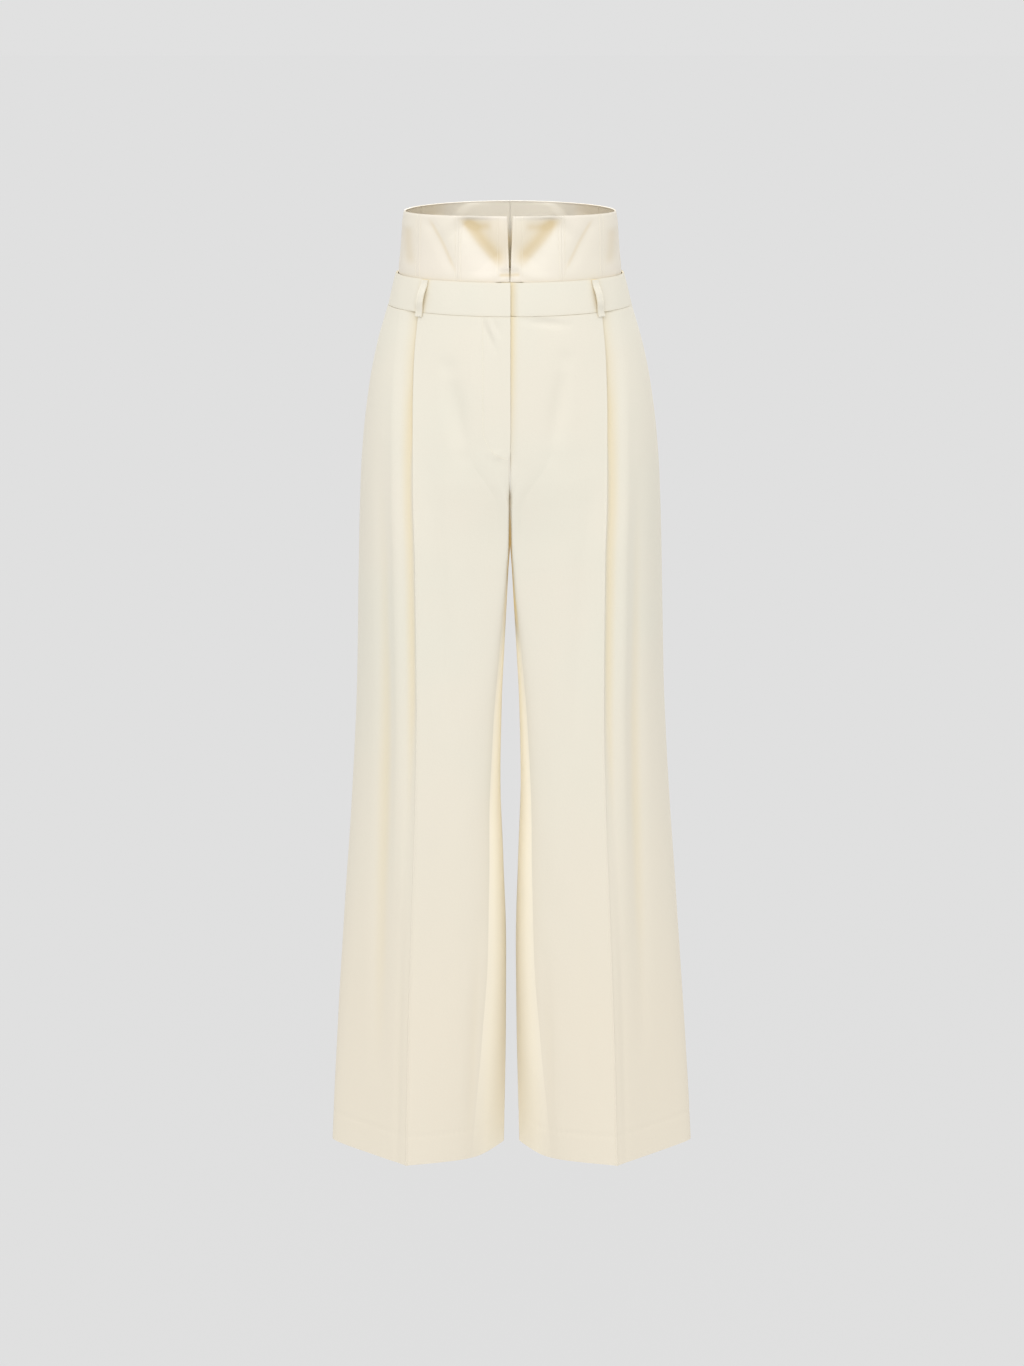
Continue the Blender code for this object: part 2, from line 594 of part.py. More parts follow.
def corset_panel(side, first_seam, last_seam):
    """One corset panel, from its front seam to its back seam, with raised boning channels."""
    boned = [name not in ("centre_front", "centre_back") for name in (first_seam, last_seam)]
    spans = max(round((CORSET_SEAMS[last_seam][0] - CORSET_SEAMS[first_seam][0]) / CORSET_SPAN), 4)
    outer, inner = [], []
    for i in range(CORSET_ROWS):
        down = i / (CORSET_ROWS - 1)
        first = CORSET_SEAMS[first_seam][0] * (1 - down) + CORSET_SEAMS[first_seam][1] * down
        last = CORSET_SEAMS[last_seam][0] * (1 - down) + CORSET_SEAMS[last_seam][1] * down
        level = CORSET_TOP * (1 - down)
        arc = [corset_point(level, first + (last - first) * k / ARC_STEPS, 0.0) for k in range(ARC_STEPS + 1)]
        length = float(np.linalg.norm(np.diff(arc, axis=0), axis=1).sum())
        near = (0.0, CHANNEL, CHANNEL + CHANNEL_SLOPE)
        middle = [length * k / spans for k in range(1, spans)]
        notch = 0.0
        if first_seam == "centre_front":
            notch = NOTCH_BOTTOM + (NOTCH_TOP - NOTCH_BOTTOM) * (1 - down)
        row, heights = [], []
        for far in (*(n + notch for n in near), *middle, *(length - n for n in reversed(near))):
            angle = first + (last - first) * far / length
            x = corset_point(level, angle, 0.0)[0]
            tuck = CORSET_TUCK
            if angle < 90:
                at_front = float(smooth(x, *reversed(CORSET_TUCK_RAMP)))
                tuck += (CORSET_TUCK_AT_FRONT - CORSET_TUCK) * at_front
            top = CORSET_TOP + CORSET_TOP_RISE * math.cos(math.radians(angle)) ** 2
            z = top + (tuck - top) * down
            raised = (far <= CHANNEL and boned[0]) or (far >= length - CHANNEL and boned[1])
            rise = CHANNEL_RISE * float(smooth(z, 0.0, CHANNEL_FADE)) if raised else 0.0
            sink = corset_fold(x, z) * float(smooth(z, 0.0, CORSET_FOLD_FADE)) if angle < 90 else 0.0
            clear = (last - first) * SEAM / 2 / length
            if far == 0.0:
                angle += clear
            elif far == length:
                angle -= clear
            point = corset_point(z, angle, sink - rise)
            if last_seam == "centre_back" and far == length:
                point[0] = SEAM / 2
            row.append(point)
            heights.append(z)
        inside = thickened(row, CORSET_CLOTH, last_way=(-1.0, 0.0) if last_seam == "centre_back" else None)
        outer.append([(side * x, -depth, z) for (x, depth), z in zip(row, heights)])
        inner.append([(side * x, -depth, z) for (x, depth), z in zip(inside, heights)])
    return outer, inner


def belt_loop(angle):
    """A belt loop: a strap that lies on the waistband at both ends and stands off between them."""
    outer, inner = [], []
    for i in range(LOOP_ROWS):
        z = LOOP_TOP + (LOOP_BOTTOM - LOOP_TOP) * i / (LOOP_ROWS - 1)
        point, outwards = waist_point(z, angle)
        from_end = min(LOOP_TOP - z, z - LOOP_BOTTOM)
        bow = LOOP_BOW * float(smooth(from_end, LOOP_FLAT, LOOP_FULL))
        across = np.array([outwards[1], -outwards[0]])
        for rows, off in ((outer, SEAM + LOOP_CLOTH + bow), (inner, SEAM + bow)):
            strip = [point + outwards * off + across * LOOP_WIDTH * share for share in LOOP_ACROSS]
            rows.append([(x, -depth, z) for x, depth in strip])
    return outer, inner


def material(name, colour, roughness):
    made = bpy.data.materials.new(name)
    made.use_nodes = True
    shader = made.node_tree.nodes["Principled BSDF"]
    shader.inputs["Base Color"].default_value = (*colour, 1.0)
    shader.inputs["Roughness"].default_value = roughness
    shader.inputs["Metallic"].default_value = 0.0
    return made


def cloth(name, sides, finish, collection):
    """A wall of cloth from the rows of points of its outer and its inner side."""
    outer, inner = (np.array(points) for points in sides)
    rows, columns = outer.shape[:2]
    outer, inner = outer.reshape(-1, 3), inner.reshape(-1, 3)
    shape = bmesh.new()
    bmesh.ops.create_grid(shape, x_segments=columns - 1, y_segments=rows - 1, size=1.0)
    place = shape.verts.layers.int.new("place")
    for i, vertex in enumerate(shape.verts):
        vertex[place] = i
        vertex.co = outer[i]
    extruded = bmesh.ops.extrude_face_region(shape, geom=shape.faces[:], use_keep_orig=True)
    for element in extruded["geom"]:
        if isinstance(element, bmesh.types.BMVert):
            element.co = inner[element[place]]
    bmesh.ops.recalc_face_normals(shape, faces=shape.faces[:])
    mesh = bpy.data.meshes.new(name)
    shape.to_mesh(mesh)
    shape.free()
    mesh.materials.append(finish)
    piece = bpy.data.objects.new(name, mesh)
    collection.objects.link(piece)
    return piece


def build():
    for old in list(bpy.data.objects):
        bpy.data.objects.remove(old)
    garment = bpy.data.collections.new("corset_trousers")
    bpy.context.scene.collection.children.link(garment)
    crepe = material("crepe", (0.86, 0.83, 0.73), 0.85)
    satin = material("satin", (0.89, 0.85, 0.76), 0.38)
    for side, name in ((1, "left"), (-1, "right")):
        cloth(f"front_{name}", front_panel(side), crepe, garment)
        cloth(f"back_{name}", back_panel(side), crepe, garment)
        cloth(f"waistband_{name}", waistband(side), crepe, garment)
        for panel, first_seam, last_seam in CORSET_PANELS:
            cloth(f"{panel}_{name}", corset_panel(side, first_seam, last_seam), satin, garment)
    for name, angle in LOOPS:
        cloth(name, belt_loop(angle), crepe, garment)


build()
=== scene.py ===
"""Corset trousers in ivory crepe with a boned satin waist, worn shape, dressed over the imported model.

Metres, +Z up. The origin is the middle of the waist at the waistband's top edge, the front faces -Y, and the
wearer's left is at +X. Each panel of cloth is a curved sheet through sections worked out from short tables,
with its pleats, folds, seams and stitching, and it takes the place of its plain wall in the model.
"""

import math

import bpy
import numpy as np
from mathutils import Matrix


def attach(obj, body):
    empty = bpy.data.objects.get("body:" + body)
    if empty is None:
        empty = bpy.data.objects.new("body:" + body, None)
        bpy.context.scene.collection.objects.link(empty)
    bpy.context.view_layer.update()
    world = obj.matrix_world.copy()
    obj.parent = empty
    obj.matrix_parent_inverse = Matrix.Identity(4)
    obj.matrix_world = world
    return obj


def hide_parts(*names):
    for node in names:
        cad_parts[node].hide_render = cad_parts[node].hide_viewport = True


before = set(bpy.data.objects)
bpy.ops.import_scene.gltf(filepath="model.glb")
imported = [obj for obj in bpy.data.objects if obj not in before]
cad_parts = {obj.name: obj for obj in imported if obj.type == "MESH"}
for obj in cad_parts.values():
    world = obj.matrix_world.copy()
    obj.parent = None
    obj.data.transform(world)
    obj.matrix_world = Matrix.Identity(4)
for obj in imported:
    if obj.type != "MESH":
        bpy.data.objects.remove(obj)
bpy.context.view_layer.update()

bpy.ops.object.select_all(action="DESELECT")

SEAM = 0.00012  # clearance between two pieces that are sewn together
CREPE_THICKNESS = 0.0009
BAND_THICKNESS = 0.0022
SATIN_THICKNESS = 0.0017
LOOP_THICKNESS = 0.0014

HEM = -1.150
CROTCH = -0.350
SWAY_AT_HEM = 0.0020  # the hem hangs a little to the wearer's left

# Waistband: its outer ring at the top and bottom edge.
BAND_TOP = 0.000
BAND_BOTTOM = -0.0395
BAND_TOP_DIP = 0.0010  # how much lower the edges lie at the centre front
BAND_BOTTOM_DIP = 0.0018
BAND_DIP_FADES_AT = -0.085  # height below which the dip no longer bends the front panels
WAIST_ROUND_TO = -0.200  # the sections turn from an oval at the waistband into their own shape down to here
PANEL_TOP = -0.0398

# The outer ring of the waist: z, distance of the centre front and of the centre back from the side plane.
WAIST_DEPTHS = (
    (0.0000, 0.0990, 0.1012),
    (-0.0395, 0.1060, 0.1100),
    (-0.1000, 0.1130, 0.1210),
    (-0.1600, 0.1170, 0.1300),
    (-0.2100, 0.1185, 0.1325),
    (-0.2450, 0.1180, 0.1310),
)

# The side seam: z, x, y.
SIDE_LINE = (
    (0.0000, 0.1413, 0.000),
    (-0.0395, 0.1512, 0.000),
    (-0.0850, 0.1645, 0.000),
    (-0.1350, 0.1750, 0.000),
    (-0.2000, 0.1836, 0.000),
    (-0.2620, 0.1885, 0.002),
    (-0.3650, 0.1923, 0.004),
    (-0.5230, 0.1964, 0.004),
    (-0.6560, 0.2038, 0.002),
    (-0.8190, 0.2160, 0.000),
    (-0.9850, 0.2278, -0.002),
    (-1.0980, 0.2352, -0.002),
    (-1.1500, 0.2382, -0.002),
)

# In the tables below a depth is measured from the side plane towards the front or the back.
# The inseam: z, x, depth towards the back. The front and back panels meet on it.
INSEAM = (
    (-0.3650, 0.0015, 0.0190),
    (-0.4180, 0.0045, 0.0160),
    (-0.4700, 0.0073, 0.0120),
    (-0.5490, 0.0112, 0.0080),
    (-0.6550, 0.0132, 0.0030),
    (-0.7650, 0.0095, -0.0010),
    (-0.8740, 0.0062, -0.0050),
    (-0.9850, 0.0067, -0.0090),
    (-1.1500, 0.0096, -0.0120),
)

# The inner edge of a front panel, down the centre front, round the crotch and down the inseam: z, x, depth.
FRONT_EDGE = (
    (-0.0395, 0.0000, 0.1060),
    (-0.1000, 0.0000, 0.1130),
    (-0.1600, 0.0000, 0.1170),
    (-0.2100, 0.0000, 0.1185),
    (-0.2280, 0.0000, 0.1180),
    (-0.2450, 0.0000, 0.1164),
    (-0.2620, 0.0000, 0.1120),
    (-0.2800, 0.0000, 0.1040),
    (-0.3000, 0.0000, 0.0880),
    (-0.3200, 0.0000, 0.0640),
    (-0.3370, 0.0000, 0.0300),
    (-0.3460, 0.0000, 0.0020),
    (-0.3500, 0.0000, -0.0200),
    *((z, x, -depth) for z, x, depth in INSEAM),
)

# The inner edge of a back panel.
BACK_EDGE = (
    (-0.0395, 0.0000, 0.1100),
    (-0.1000, 0.0000, 0.1210),
    (-0.1600, 0.0000, 0.1300),
    (-0.2100, 0.0000, 0.1325),
    (-0.2400, 0.0000, 0.1310),
    (-0.2620, 0.0000, 0.1240),
    (-0.2850, 0.0000, 0.1110),
    (-0.3050, 0.0000, 0.0920),
    (-0.3250, 0.0000, 0.0670),
    (-0.3400, 0.0000, 0.0430),
    (-0.3500, 0.0000, 0.0200),
    *INSEAM,
)

# The corner that the cloth turns round between its inner edge and the crease: z, x, depth, sharpness.
FRONT_BEND = (
    (-0.0395, 0.0580, 0.1075, 1.0),
    (-0.1400, 0.0560, 0.1170, 1.0),
    (-0.1900, 0.0480, 0.1192, 1.2),
    (-0.2200, 0.0340, 0.1200, 1.8),
    (-0.2400, 0.0180, 0.1200, 3.2),
    (-0.2620, 0.0048, 0.1185, 8.0),
    (-0.2800, 0.0016, 0.1162, 18.0),
    (-0.3200, 0.0015, 0.1120, 26.0),
    (-0.3650, 0.0026, 0.1100, 17.0),
    (-0.4180, 0.0050, 0.1090, 9.0),
    (-0.4700, 0.0075, 0.1080, 6.0),
    (-0.5490, 0.0112, 0.1068, 4.0),
    (-0.6560, 0.0130, 0.1050, 2.9),
    (-0.7650, 0.0098, 0.1022, 2.3),
    (-0.8740, 0.0105, 0.0980, 2.1),
    (-0.9850, 0.0180, 0.0930, 1.8),
    (-1.0800, 0.0330, 0.0840, 2.3),
    (-1.1500, 0.0435, 0.0760, 3.0),
)
BACK_BEND = (
    (-0.0395, 0.0550, 0.1120, 1.0),
    (-0.2100, 0.0600, 0.1350, 1.0),
    (-0.2400, 0.0450, 0.1340, 1.0),
    (-0.2620, 0.0080, 0.1340, 3.0),
    (-0.2850, 0.0040, 0.1320, 6.0),
    (-0.3250, 0.0030, 0.1265, 9.0),
    (-0.3650, 0.0036, 0.1215, 8.0),
    (-0.4180, 0.0055, 0.1175, 5.5),
    (-0.4700, 0.0078, 0.1155, 4.2),
    (-0.5490, 0.0115, 0.1118, 3.0),
    (-0.6560, 0.0132, 0.1075, 2.4),
    (-0.7650, 0.0098, 0.1045, 2.0),
    (-0.8740, 0.0110, 0.1000, 1.9),
    (-0.9850, 0.0180, 0.0950, 1.7),
    (-1.0800, 0.0330, 0.0860, 2.3),
    (-1.1500, 0.0435, 0.0790, 3.0),
)

# How far a panel swells out between that corner and the crease: z, distance.
SWELL = (
    (-0.1500, 0.0000),
    (-0.2100, 0.0010),
    (-0.2620, 0.0036),
    (-0.3300, 0.0034),
    (-0.4200, 0.0022),
    (-0.6000, 0.0000),
)

# The pressed crease: z, x, depth, then the depth and sharpness of the corner between it and the side seam.
FRONT_CREASE = (
    (-0.0395, 0.1120, 0.0713, 0.050, 0.80),
    (-0.1030, 0.1175, 0.0840, 0.058, 0.80),
    (-0.1640, 0.1190, 0.0930, 0.065, 0.80),
    (-0.2630, 0.1190, 0.1020, 0.072, 0.80),
    (-0.3500, 0.1170, 0.1070, 0.075, 0.80),
    (-0.5160, 0.1165, 0.1080, 0.068, 0.85),
    (-0.6560, 0.1195, 0.1065, 0.055, 1.00),
    (-0.8190, 0.1260, 0.1035, 0.038, 1.40),
    (-0.9850, 0.1325, 0.1005, 0.022, 2.00),
    (-1.1500, 0.1372, 0.0975, 0.012, 2.50),
)
BACK_CREASE = (
    (-0.0395, 0.1010, 0.0819, 0.055, 0.80),
    (-0.1030, 0.1060, 0.1010, 0.072, 0.80),
    (-0.1640, 0.1090, 0.1180, 0.086, 0.80),
    (-0.2300, 0.1110, 0.1275, 0.092, 0.80),
    (-0.3000, 0.1120, 0.1280, 0.090, 0.80),
    (-0.3500, 0.1125, 0.1240, 0.085, 0.80),
    (-0.4300, 0.1130, 0.1180, 0.078, 0.85),
    (-0.5600, 0.1150, 0.1120, 0.066, 0.90),
    (-0.7000, 0.1190, 0.1080, 0.052, 1.10),
    (-0.8500, 0.1265, 0.1050, 0.036, 1.40),
    (-1.0000, 0.1325, 0.1020, 0.022, 2.00),
    (-1.1500, 0.1372, 0.1000, 0.012, 2.50),
)

# The rows of points down a trouser panel: the height down to which each spacing runs.
PANEL_ROWS = ((-0.120, 0.0032), (-0.240, 0.0050), (-0.370, 0.0032), (-1.085, 0.0065), (HEM, 0.0035))
# Its columns: from the inner edge to the corner, from there to the pleat or crease, and on to the side seam.
FRONT_COLUMNS = (26, 40, 36)
BACK_COLUMNS = (33, 33, 50)
CORNER_CROWDING = 1.35  # above 1 the columns stand closer at that corner
# Distances of the columns beside an edge, where the seam rolls in.
EDGE_COLUMNS = (0.0, 0.0006, 0.0012, 0.0020, 0.0030, 0.0045)

# How far the cloth rolls in along its seams.
SEAM_ROLL = 0.0005
SEAM_ROLL_WIDTH = 0.0014
WAIST_SEAM_ROLL = 0.00018
# shade painted golden along the waist seam, on the panels and the waistband
WAIST_SEAM_PAINTED_SHADE = 0.07
CENTRE_SEAM_ROLL = 0.0013  # also its width

# The front pleat, as the points that the cloth passes after the fold's edge: distance outwards and depth
# inwards. It is folded under at the waist, stands upright as it opens, and ends as a pressed crease over a
# soft groove.
PLEAT_STATES = {
    "folded": (
        (0.0006, 0.0005), (0.0011, 0.0016), (0.0005, 0.0029), (-0.0160, 0.0033),
        (-0.0167, 0.0038), (-0.0160, 0.0043), (0.0010, 0.0044), (0.0090, 0.0030),
    ),
    "short": (
        (0.0006, 0.0005), (0.0011, 0.0016), (0.0005, 0.0029), (-0.0040, 0.0034),
        (-0.0048, 0.0041), (-0.0040, 0.0048), (0.0015, 0.0050), (0.0090, 0.0034),
    ),
    "upright": (
        (0.0007, 0.0005), (0.0012, 0.0016), (0.0012, 0.0029), (0.0012, 0.0040),
        (0.0019, 0.0050), (0.0033, 0.0055), (0.0062, 0.0052), (0.0120, 0.0035),
    ),
    "open": (
        (0.0008, 0.0005), (0.0018, 0.0014), (0.0030, 0.0025), (0.0045, 0.0035),
        (0.0062, 0.0042), (0.0085, 0.0046), (0.0120, 0.0040), (0.0180, 0.0028),
    ),
    "pressed": (
        (0.0020, 0.0000), (0.0040, 0.0000), (0.0060, 0.0000), (0.0090, 0.0000),
        (0.0120, 0.0000), (0.0160, 0.0000), (0.0210, 0.0000), (0.0280, 0.0000),
    ),
}
# Height and state.
PLEAT_OPENING = (
    (-0.060, "folded"),
    (-0.115, "short"),
    (-0.165, "upright"),
    (-0.240, "open"),
    (-0.420, "open"),
    (-0.860, "pressed"),
)
PLEAT_START = -0.006
PLEAT_END = 0.032  # past this distance from the crease the cloth is plain again
PLEAT_FADES = 0.044
PLEAT_SPAN = 5  # columns for each stretch between the pleat's points
CREASE_RIDGE = 0.0008
CREASE_RIDGE_WIDTH = 0.0014
# Heights where the crease's ridge starts and where it is full.
FRONT_RIDGE_STARTS = (-0.12, -0.30)
BACK_RIDGE_STARTS = (-0.16, -0.36)

# Soft folds of a leg: top and low z, distance from the crease there (outwards is plus), width, depth inwards.
FRONT_FOLDS = {
    1: (
        (-0.10, -0.86, 0.027, 0.024, 0.010, -0.0028),
        (-0.22, -1.02, 0.052, 0.050, 0.013, 0.0034),
        (-0.74, -1.20, 0.014, 0.012, 0.008, 0.0013),
        (-0.24, -0.60, -0.022, -0.036, 0.011, 0.0018),
        (-0.32, -0.80, -0.056, -0.066, 0.016, -0.0016),
        (-0.85, -1.16, -0.086, -0.091, 0.009, 0.0016),
        (-0.62, -1.10, -0.030, -0.040, 0.014, 0.0010),
    ),
    -1: (
        (-0.10, -0.82, 0.027, 0.023, 0.010, -0.0027),
        (-0.20, -1.05, 0.050, 0.053, 0.014, 0.0036),
        (-0.78, -1.20, 0.013, 0.014, 0.008, 0.0014),
        (-0.22, -0.57, -0.023, -0.034, 0.011, 0.0019),
        (-0.34, -0.84, -0.054, -0.068, 0.015, -0.0015),
        (-0.80, -1.16, -0.088, -0.086, 0.010, 0.0018),
        (-0.70, -1.13, -0.026, -0.044, 0.015, 0.0009),
    ),
}
BACK_FOLDS = {
    1: (
        (-0.24, -0.82, 0.030, 0.026, 0.014, 0.0034),
        (-0.34, -0.94, 0.058, 0.054, 0.014, -0.0028),
        (-0.30, -0.70, -0.040, -0.050, 0.016, 0.0030),
        (-0.56, -1.12, -0.062, -0.070, 0.015, 0.0020),
    ),
    -1: (
        (-0.26, -0.86, 0.031, 0.025, 0.014, 0.0036),
        (-0.31, -0.90, 0.057, 0.055, 0.015, -0.0026),
        (-0.30, -0.66, -0.038, -0.052, 0.016, 0.0031),
        (-0.60, -1.14, -0.058, -0.072, 0.014, 0.0019),
    ),
}
FOLD_FULLNESS = 0.7  # below 1 a fold stays deep nearer to its ends
FOLDS_END = 0.8  # share of the way to the side seam past which they fade out
FOLDS_PAST_PLEAT = (0.006, 0.020)  # distance past the fold's edge over which they fade in
FOLDS_PAST_INSEAM = 0.4  # share of the way from the inner edge to the corner over which the back's fade in

# Small drag lines of the front: x and z of both ends, width, depth inwards.
FRONT_DRAGS = {
    1: (
        (0.016, -0.0440, 0.072, -0.0520, 0.0042, 0.0022),
        (0.067, -0.095, 0.051, -0.212, 0.011, 0.0034),
        (0.060, -0.070, 0.085, -0.190, 0.012, -0.0010),
    ),
    -1: (
        (0.0345, -0.0390, 0.0180, -0.0820, 0.0028, 0.0022),
        (0.0285, -0.0390, 0.0140, -0.0780, 0.0034, -0.0012),
        (0.0210, -0.0390, 0.0120, -0.0640, 0.0026, 0.0014),
        (0.074, -0.105, 0.058, -0.212, 0.011, 0.0036),
        (0.046, -0.070, 0.040, -0.180, 0.012, -0.0009),
        (0.026, -0.2060, 0.003, -0.2150, 0.0020, -0.0017),
        (0.029, -0.2160, 0.005, -0.2195, 0.0026, 0.0007),
    ),
}
BACK_DRAGS = {
    1: (
        (0.018, -0.232, 0.085, -0.262, 0.011, 0.0015),
        (0.022, -0.262, 0.080, -0.310, 0.012, 0.0012),
        (0.050, -0.052, 0.096, -0.060, 0.006, 0.0007),
    ),
    -1: (
        (0.020, -0.226, 0.078, -0.258, 0.011, 0.0014),
        (0.026, -0.270, 0.088, -0.312, 0.012, 0.0013),
        (0.042, -0.056, 0.090, -0.053, 0.006, 0.0007),
    ),
}
DRAG_ENDS = (0.12, 0.90)  # shares of its length past which a drag line's depth stays the same

# Faint unevenness of hanging cloth, each as two waves that are multiplied: height, then for each wave how
# fast it runs with x and with z, and how often the side's shift is added to it.
RIPPLES = (
    (0.00030, (41.0, 7.1, 1), (-12.0, 9.7, 2)),
    (0.00012, (120.0, 23.0, 1), (0.0, 31.0, 5)),
)
RIPPLE_SHIFT = 1.3
RIPPLE_FADE = 0.02  # distance from the centre seam over which it fades in

# Back darts: x at the waist seam and at the point, z of the point, width and depth of the sewn line.
DART_TOP_X = 0.064
DART_POINT_X = 0.070
DART_POINT = -0.150
DART_WIDTH = 0.0011
DART_DEPTH = 0.0007
DART_FADE = 0.4  # below 1 it stays deep nearer to its point

# Fly: the wearer's right front lies over the left front, down to the end of the opening.
FLY_OVER = 0.0006  # the upper edge reaches this far past the centre
FLY_UNDER = 0.0080  # the lower edge reaches this far under it
FLY_STEP = 0.0018  # how much deeper the lower layer lies
FLY_RAMP = (0.0130, 0.0020)  # distance from the centre where it starts to sink, and where it is down
FLY_FULL_TO = -0.180
FLY_END = -0.213
FLY_STEP_END = -0.240
FLY_STITCH_X = 0.033
FLY_STITCH_CURVE = -0.176  # height where the line of stitches starts to turn towards the centre
FLY_STITCH_END = -0.2140
FLY_STITCH_TOP = -0.0428
FLY_STITCH_END_X = 0.001
FLY_STITCH_POINTS = (60, 30)  # down its straight part and round its curve
FLY_STITCH_GROOVE = (0.0004, 0.0009)  # depth and width of the groove that it lies in
# Shadow painted golden on the lower layer beside the fly's edge: strength, width, and the heights over which
# it fades out downwards on the front panel.
FLY_PAINTED_SHADOW = 0.50
FLY_PAINTED_SHADOW_WIDTH = 0.0060
FLY_PAINTED_SHADOW_RANGE = (-0.230, -0.070)
BAND_STEP = 0.0032  # how much deeper the waistband's left end lies than the right one
BAND_UNDER = 0.0100  # and how far it reaches under it
BAND_COLUMNS = 180
BAND_ROWS = 22
BAND_CROWDING = 1.25  # above 1 the columns stand closer at the front
BAND_ROLL_WIDTH = 0.0011
BAND_PUFF = 0.0003
BAND_RIPPLE = (0.00022, 0.31, 2.6, 0.05)  # height, and how fast its waves run round, down and slanting

# Hem: the turning is caught by blind stitches at this height.
HEM_TURNING = 0.040
HEM_DENT = 0.0005
HEM_DENT_WIDTH = 0.0022
HEM_STITCHES = (0.7, 0.3, 900.0)  # even part of the dent, uneven part, and how fast that comes and goes

# Corset: its outer ring, z, half width, centre front and centre back distance.
CORSET_RING = (
    (0.0780, 0.1308, 0.0900, 0.0940),
    (0.0550, 0.1340, 0.0925, 0.0955),
    (0.0300, 0.1358, 0.0940, 0.0965),
    (0.0000, 0.1380, 0.0957, 0.0979),
    (-0.0050, 0.1380, 0.0957, 0.0979),
)
CORSET_TOP = 0.076
CORSET_TOP_RISE = 0.002  # the top edge is higher at the centre front and centre back
CORSET_TUCK = -0.005  # its lower edge, inside the waistband
CORSET_TUCK_AT_FRONT = -0.0004
CORSET_TUCK_RAMP = (0.014, 0.026)  # distance from the centre front where the tuck begins and is full
NOTCH_TOP = 0.0032  # half the width of the centre front notch at the top, and at the waistband
NOTCH_BOTTOM = 0.0003
CHANNEL = 0.0030  # half the width of a boning channel
CHANNEL_RISE = 0.00022
CHANNEL_SLOPE = 0.0010
CHANNEL_FADE = 0.006  # height above the waistband over which it rises
CHANNEL_GROOVE = 0.00016
CHANNEL_GROOVE_WIDTH = 0.0006
CORSET_SEAM_ROLL = 0.00018
CORSET_SEAM_WIDTH = 0.0006
CORSET_TOP_ROLL = (0.0006, 0.0010)  # how far its top edge rolls in, and over what height
FACING_STITCH = 0.0150  # distance of the facing's line of stitches from the centre front
FACING_GROOVE = (0.00035, 0.0009)  # depth and width
# The rolled edge of the notch: distance from it, how far the cloth stands off there, and width.
NOTCH_EDGE = ((0.0022, 0.0005, 0.0016), (0.0, -0.0004, 0.0007))
CORSET_ROWS = 54
CORSET_COLUMN = 0.0016  # spacing of its columns
CORSET_EDGE_COLUMNS = (0.0, 0.0005, 0.0010, 0.0018, 0.0026, 0.0032, 0.0038, 0.0046, 0.0060)
ARC_STEPS = 24

# The corset's seams: angle round from the centre front at the top edge and at the waistband, and its panels.
CORSET_SEAMS = {
    "centre_front": (0.0, 0.0),
    "princess": (28.8, 27.2),
    "side_front": (57.5, 54.5),
    "side_back": (122.0, 125.0),
    "centre_back": (180.0, 180.0),
}
CORSET_PANELS = (
    ("corset_front", "centre_front", "princess"),
    ("corset_side_front", "princess", "side_front"),
    ("corset_side", "side_front", "side_back"),
    ("corset_back", "side_back", "centre_back"),
)
# Drag lines in the satin, each a valley whose slope on the side of the centre front has golden shade painted
# on it: x and z of both ends, how far the cloth slopes down to it on the shaded side and on the other side,
# its depth, how strong the painted shade is, how wide that band is, and how much painted shade the cloth
# keeps past the band.
CORSET_FOLDS = {
    1: (
        (0.0620, 0.0740, 0.0150, 0.0190, 0.0230, 0.0200, 0.0042, 0.86, 0.0078, 0.34),
        (0.0560, 0.0630, 0.0200, 0.0610, 0.0080, 0.0100, 0.0013, 0.34, 0.0044, 0.00),
        (0.1010, 0.0690, 0.0700, 0.0150, 0.0050, 0.0060, 0.0012, 0.36, 0.0022, 0.00),
        (0.1300, 0.0570, 0.1265, 0.0150, 0.0100, 0.0080, 0.0005, 0.29, 0.0058, 0.00),
        (-0.0020, 0.0088, 0.0120, 0.0098, 0.0030, 0.0030, 0.0012, 0.60, 0.0020, 0.00),
    ),
    -1: (
        (0.0605, 0.0745, 0.0130, 0.0175, 0.0210, 0.0210, 0.0044, 0.90, 0.0074, 0.40),
        (0.0580, 0.0640, 0.0240, 0.0620, 0.0080, 0.0100, 0.0016, 0.40, 0.0046, 0.00),
        (0.0990, 0.0700, 0.0680, 0.0130, 0.0046, 0.0056, 0.0014, 0.40, 0.0020, 0.00),
        (0.1305, 0.0590, 0.1265, 0.0140, 0.0100, 0.0080, 0.0006, 0.32, 0.0062, 0.00),
        (-0.0020, 0.0088, 0.0130, 0.0092, 0.0030, 0.0030, 0.0013, 0.70, 0.0020, 0.00),
    ),
}
BACK_CORSET_FOLDS = {
    1: (
        (0.0640, 0.0660, 0.0200, 0.0260, 0.0180, 0.0170, 0.0018, 0.50, 0.0070, 0.14),
        (0.0900, 0.0640, 0.0740, 0.0120, 0.0050, 0.0055, 0.0012, 0.36, 0.0024, 0.00),
    ),
    -1: (
        (0.0610, 0.0690, 0.0230, 0.0250, 0.0190, 0.0170, 0.0016, 0.46, 0.0072, 0.14),
        (0.0930, 0.0620, 0.0720, 0.0140, 0.0045, 0.0055, 0.0013, 0.40, 0.0022, 0.00),
        (0.0300, 0.0300, 0.0060, 0.0110, 0.0060, 0.0050, 0.0009, 0.35, 0.0020, 0.00),
    ),
}
CORSET_FOLD_FADE = 0.012  # height above the waistband over which they fade in
CORSET_TOP_FADE = 0.005  # and below the top edge
CORSET_TOP_PAINTED_SHADE = (0.001, 0.007)  # distances below the top edge over which their painted shade fades in
FOLD_STARTS = (-0.08, 0.14)  # shares of its length over which a fold begins, and over which it ends
FOLD_ENDS = (1.12, 0.80)
VALLEY = 0.0040  # radius that a valley is rounded to, and how far its painted shade reaches past it
VALLEY_SHAPE = 1.5
FOLD_WAVER = 0.010  # how far a fold wavers from a straight line, as a share of its length
WAVER_RATE = 5.5
WAVER_SHIFT = 90.0  # times a fold's first x, so that each wavers in its own way
PAINTED_SHADE_MIDDLE = 0.7  # where the band of painted shade is strongest, in its own widths from the valley
PAINTED_SHADE_REACH = 0.042  # how far from the valley the last trace of painted shade ends
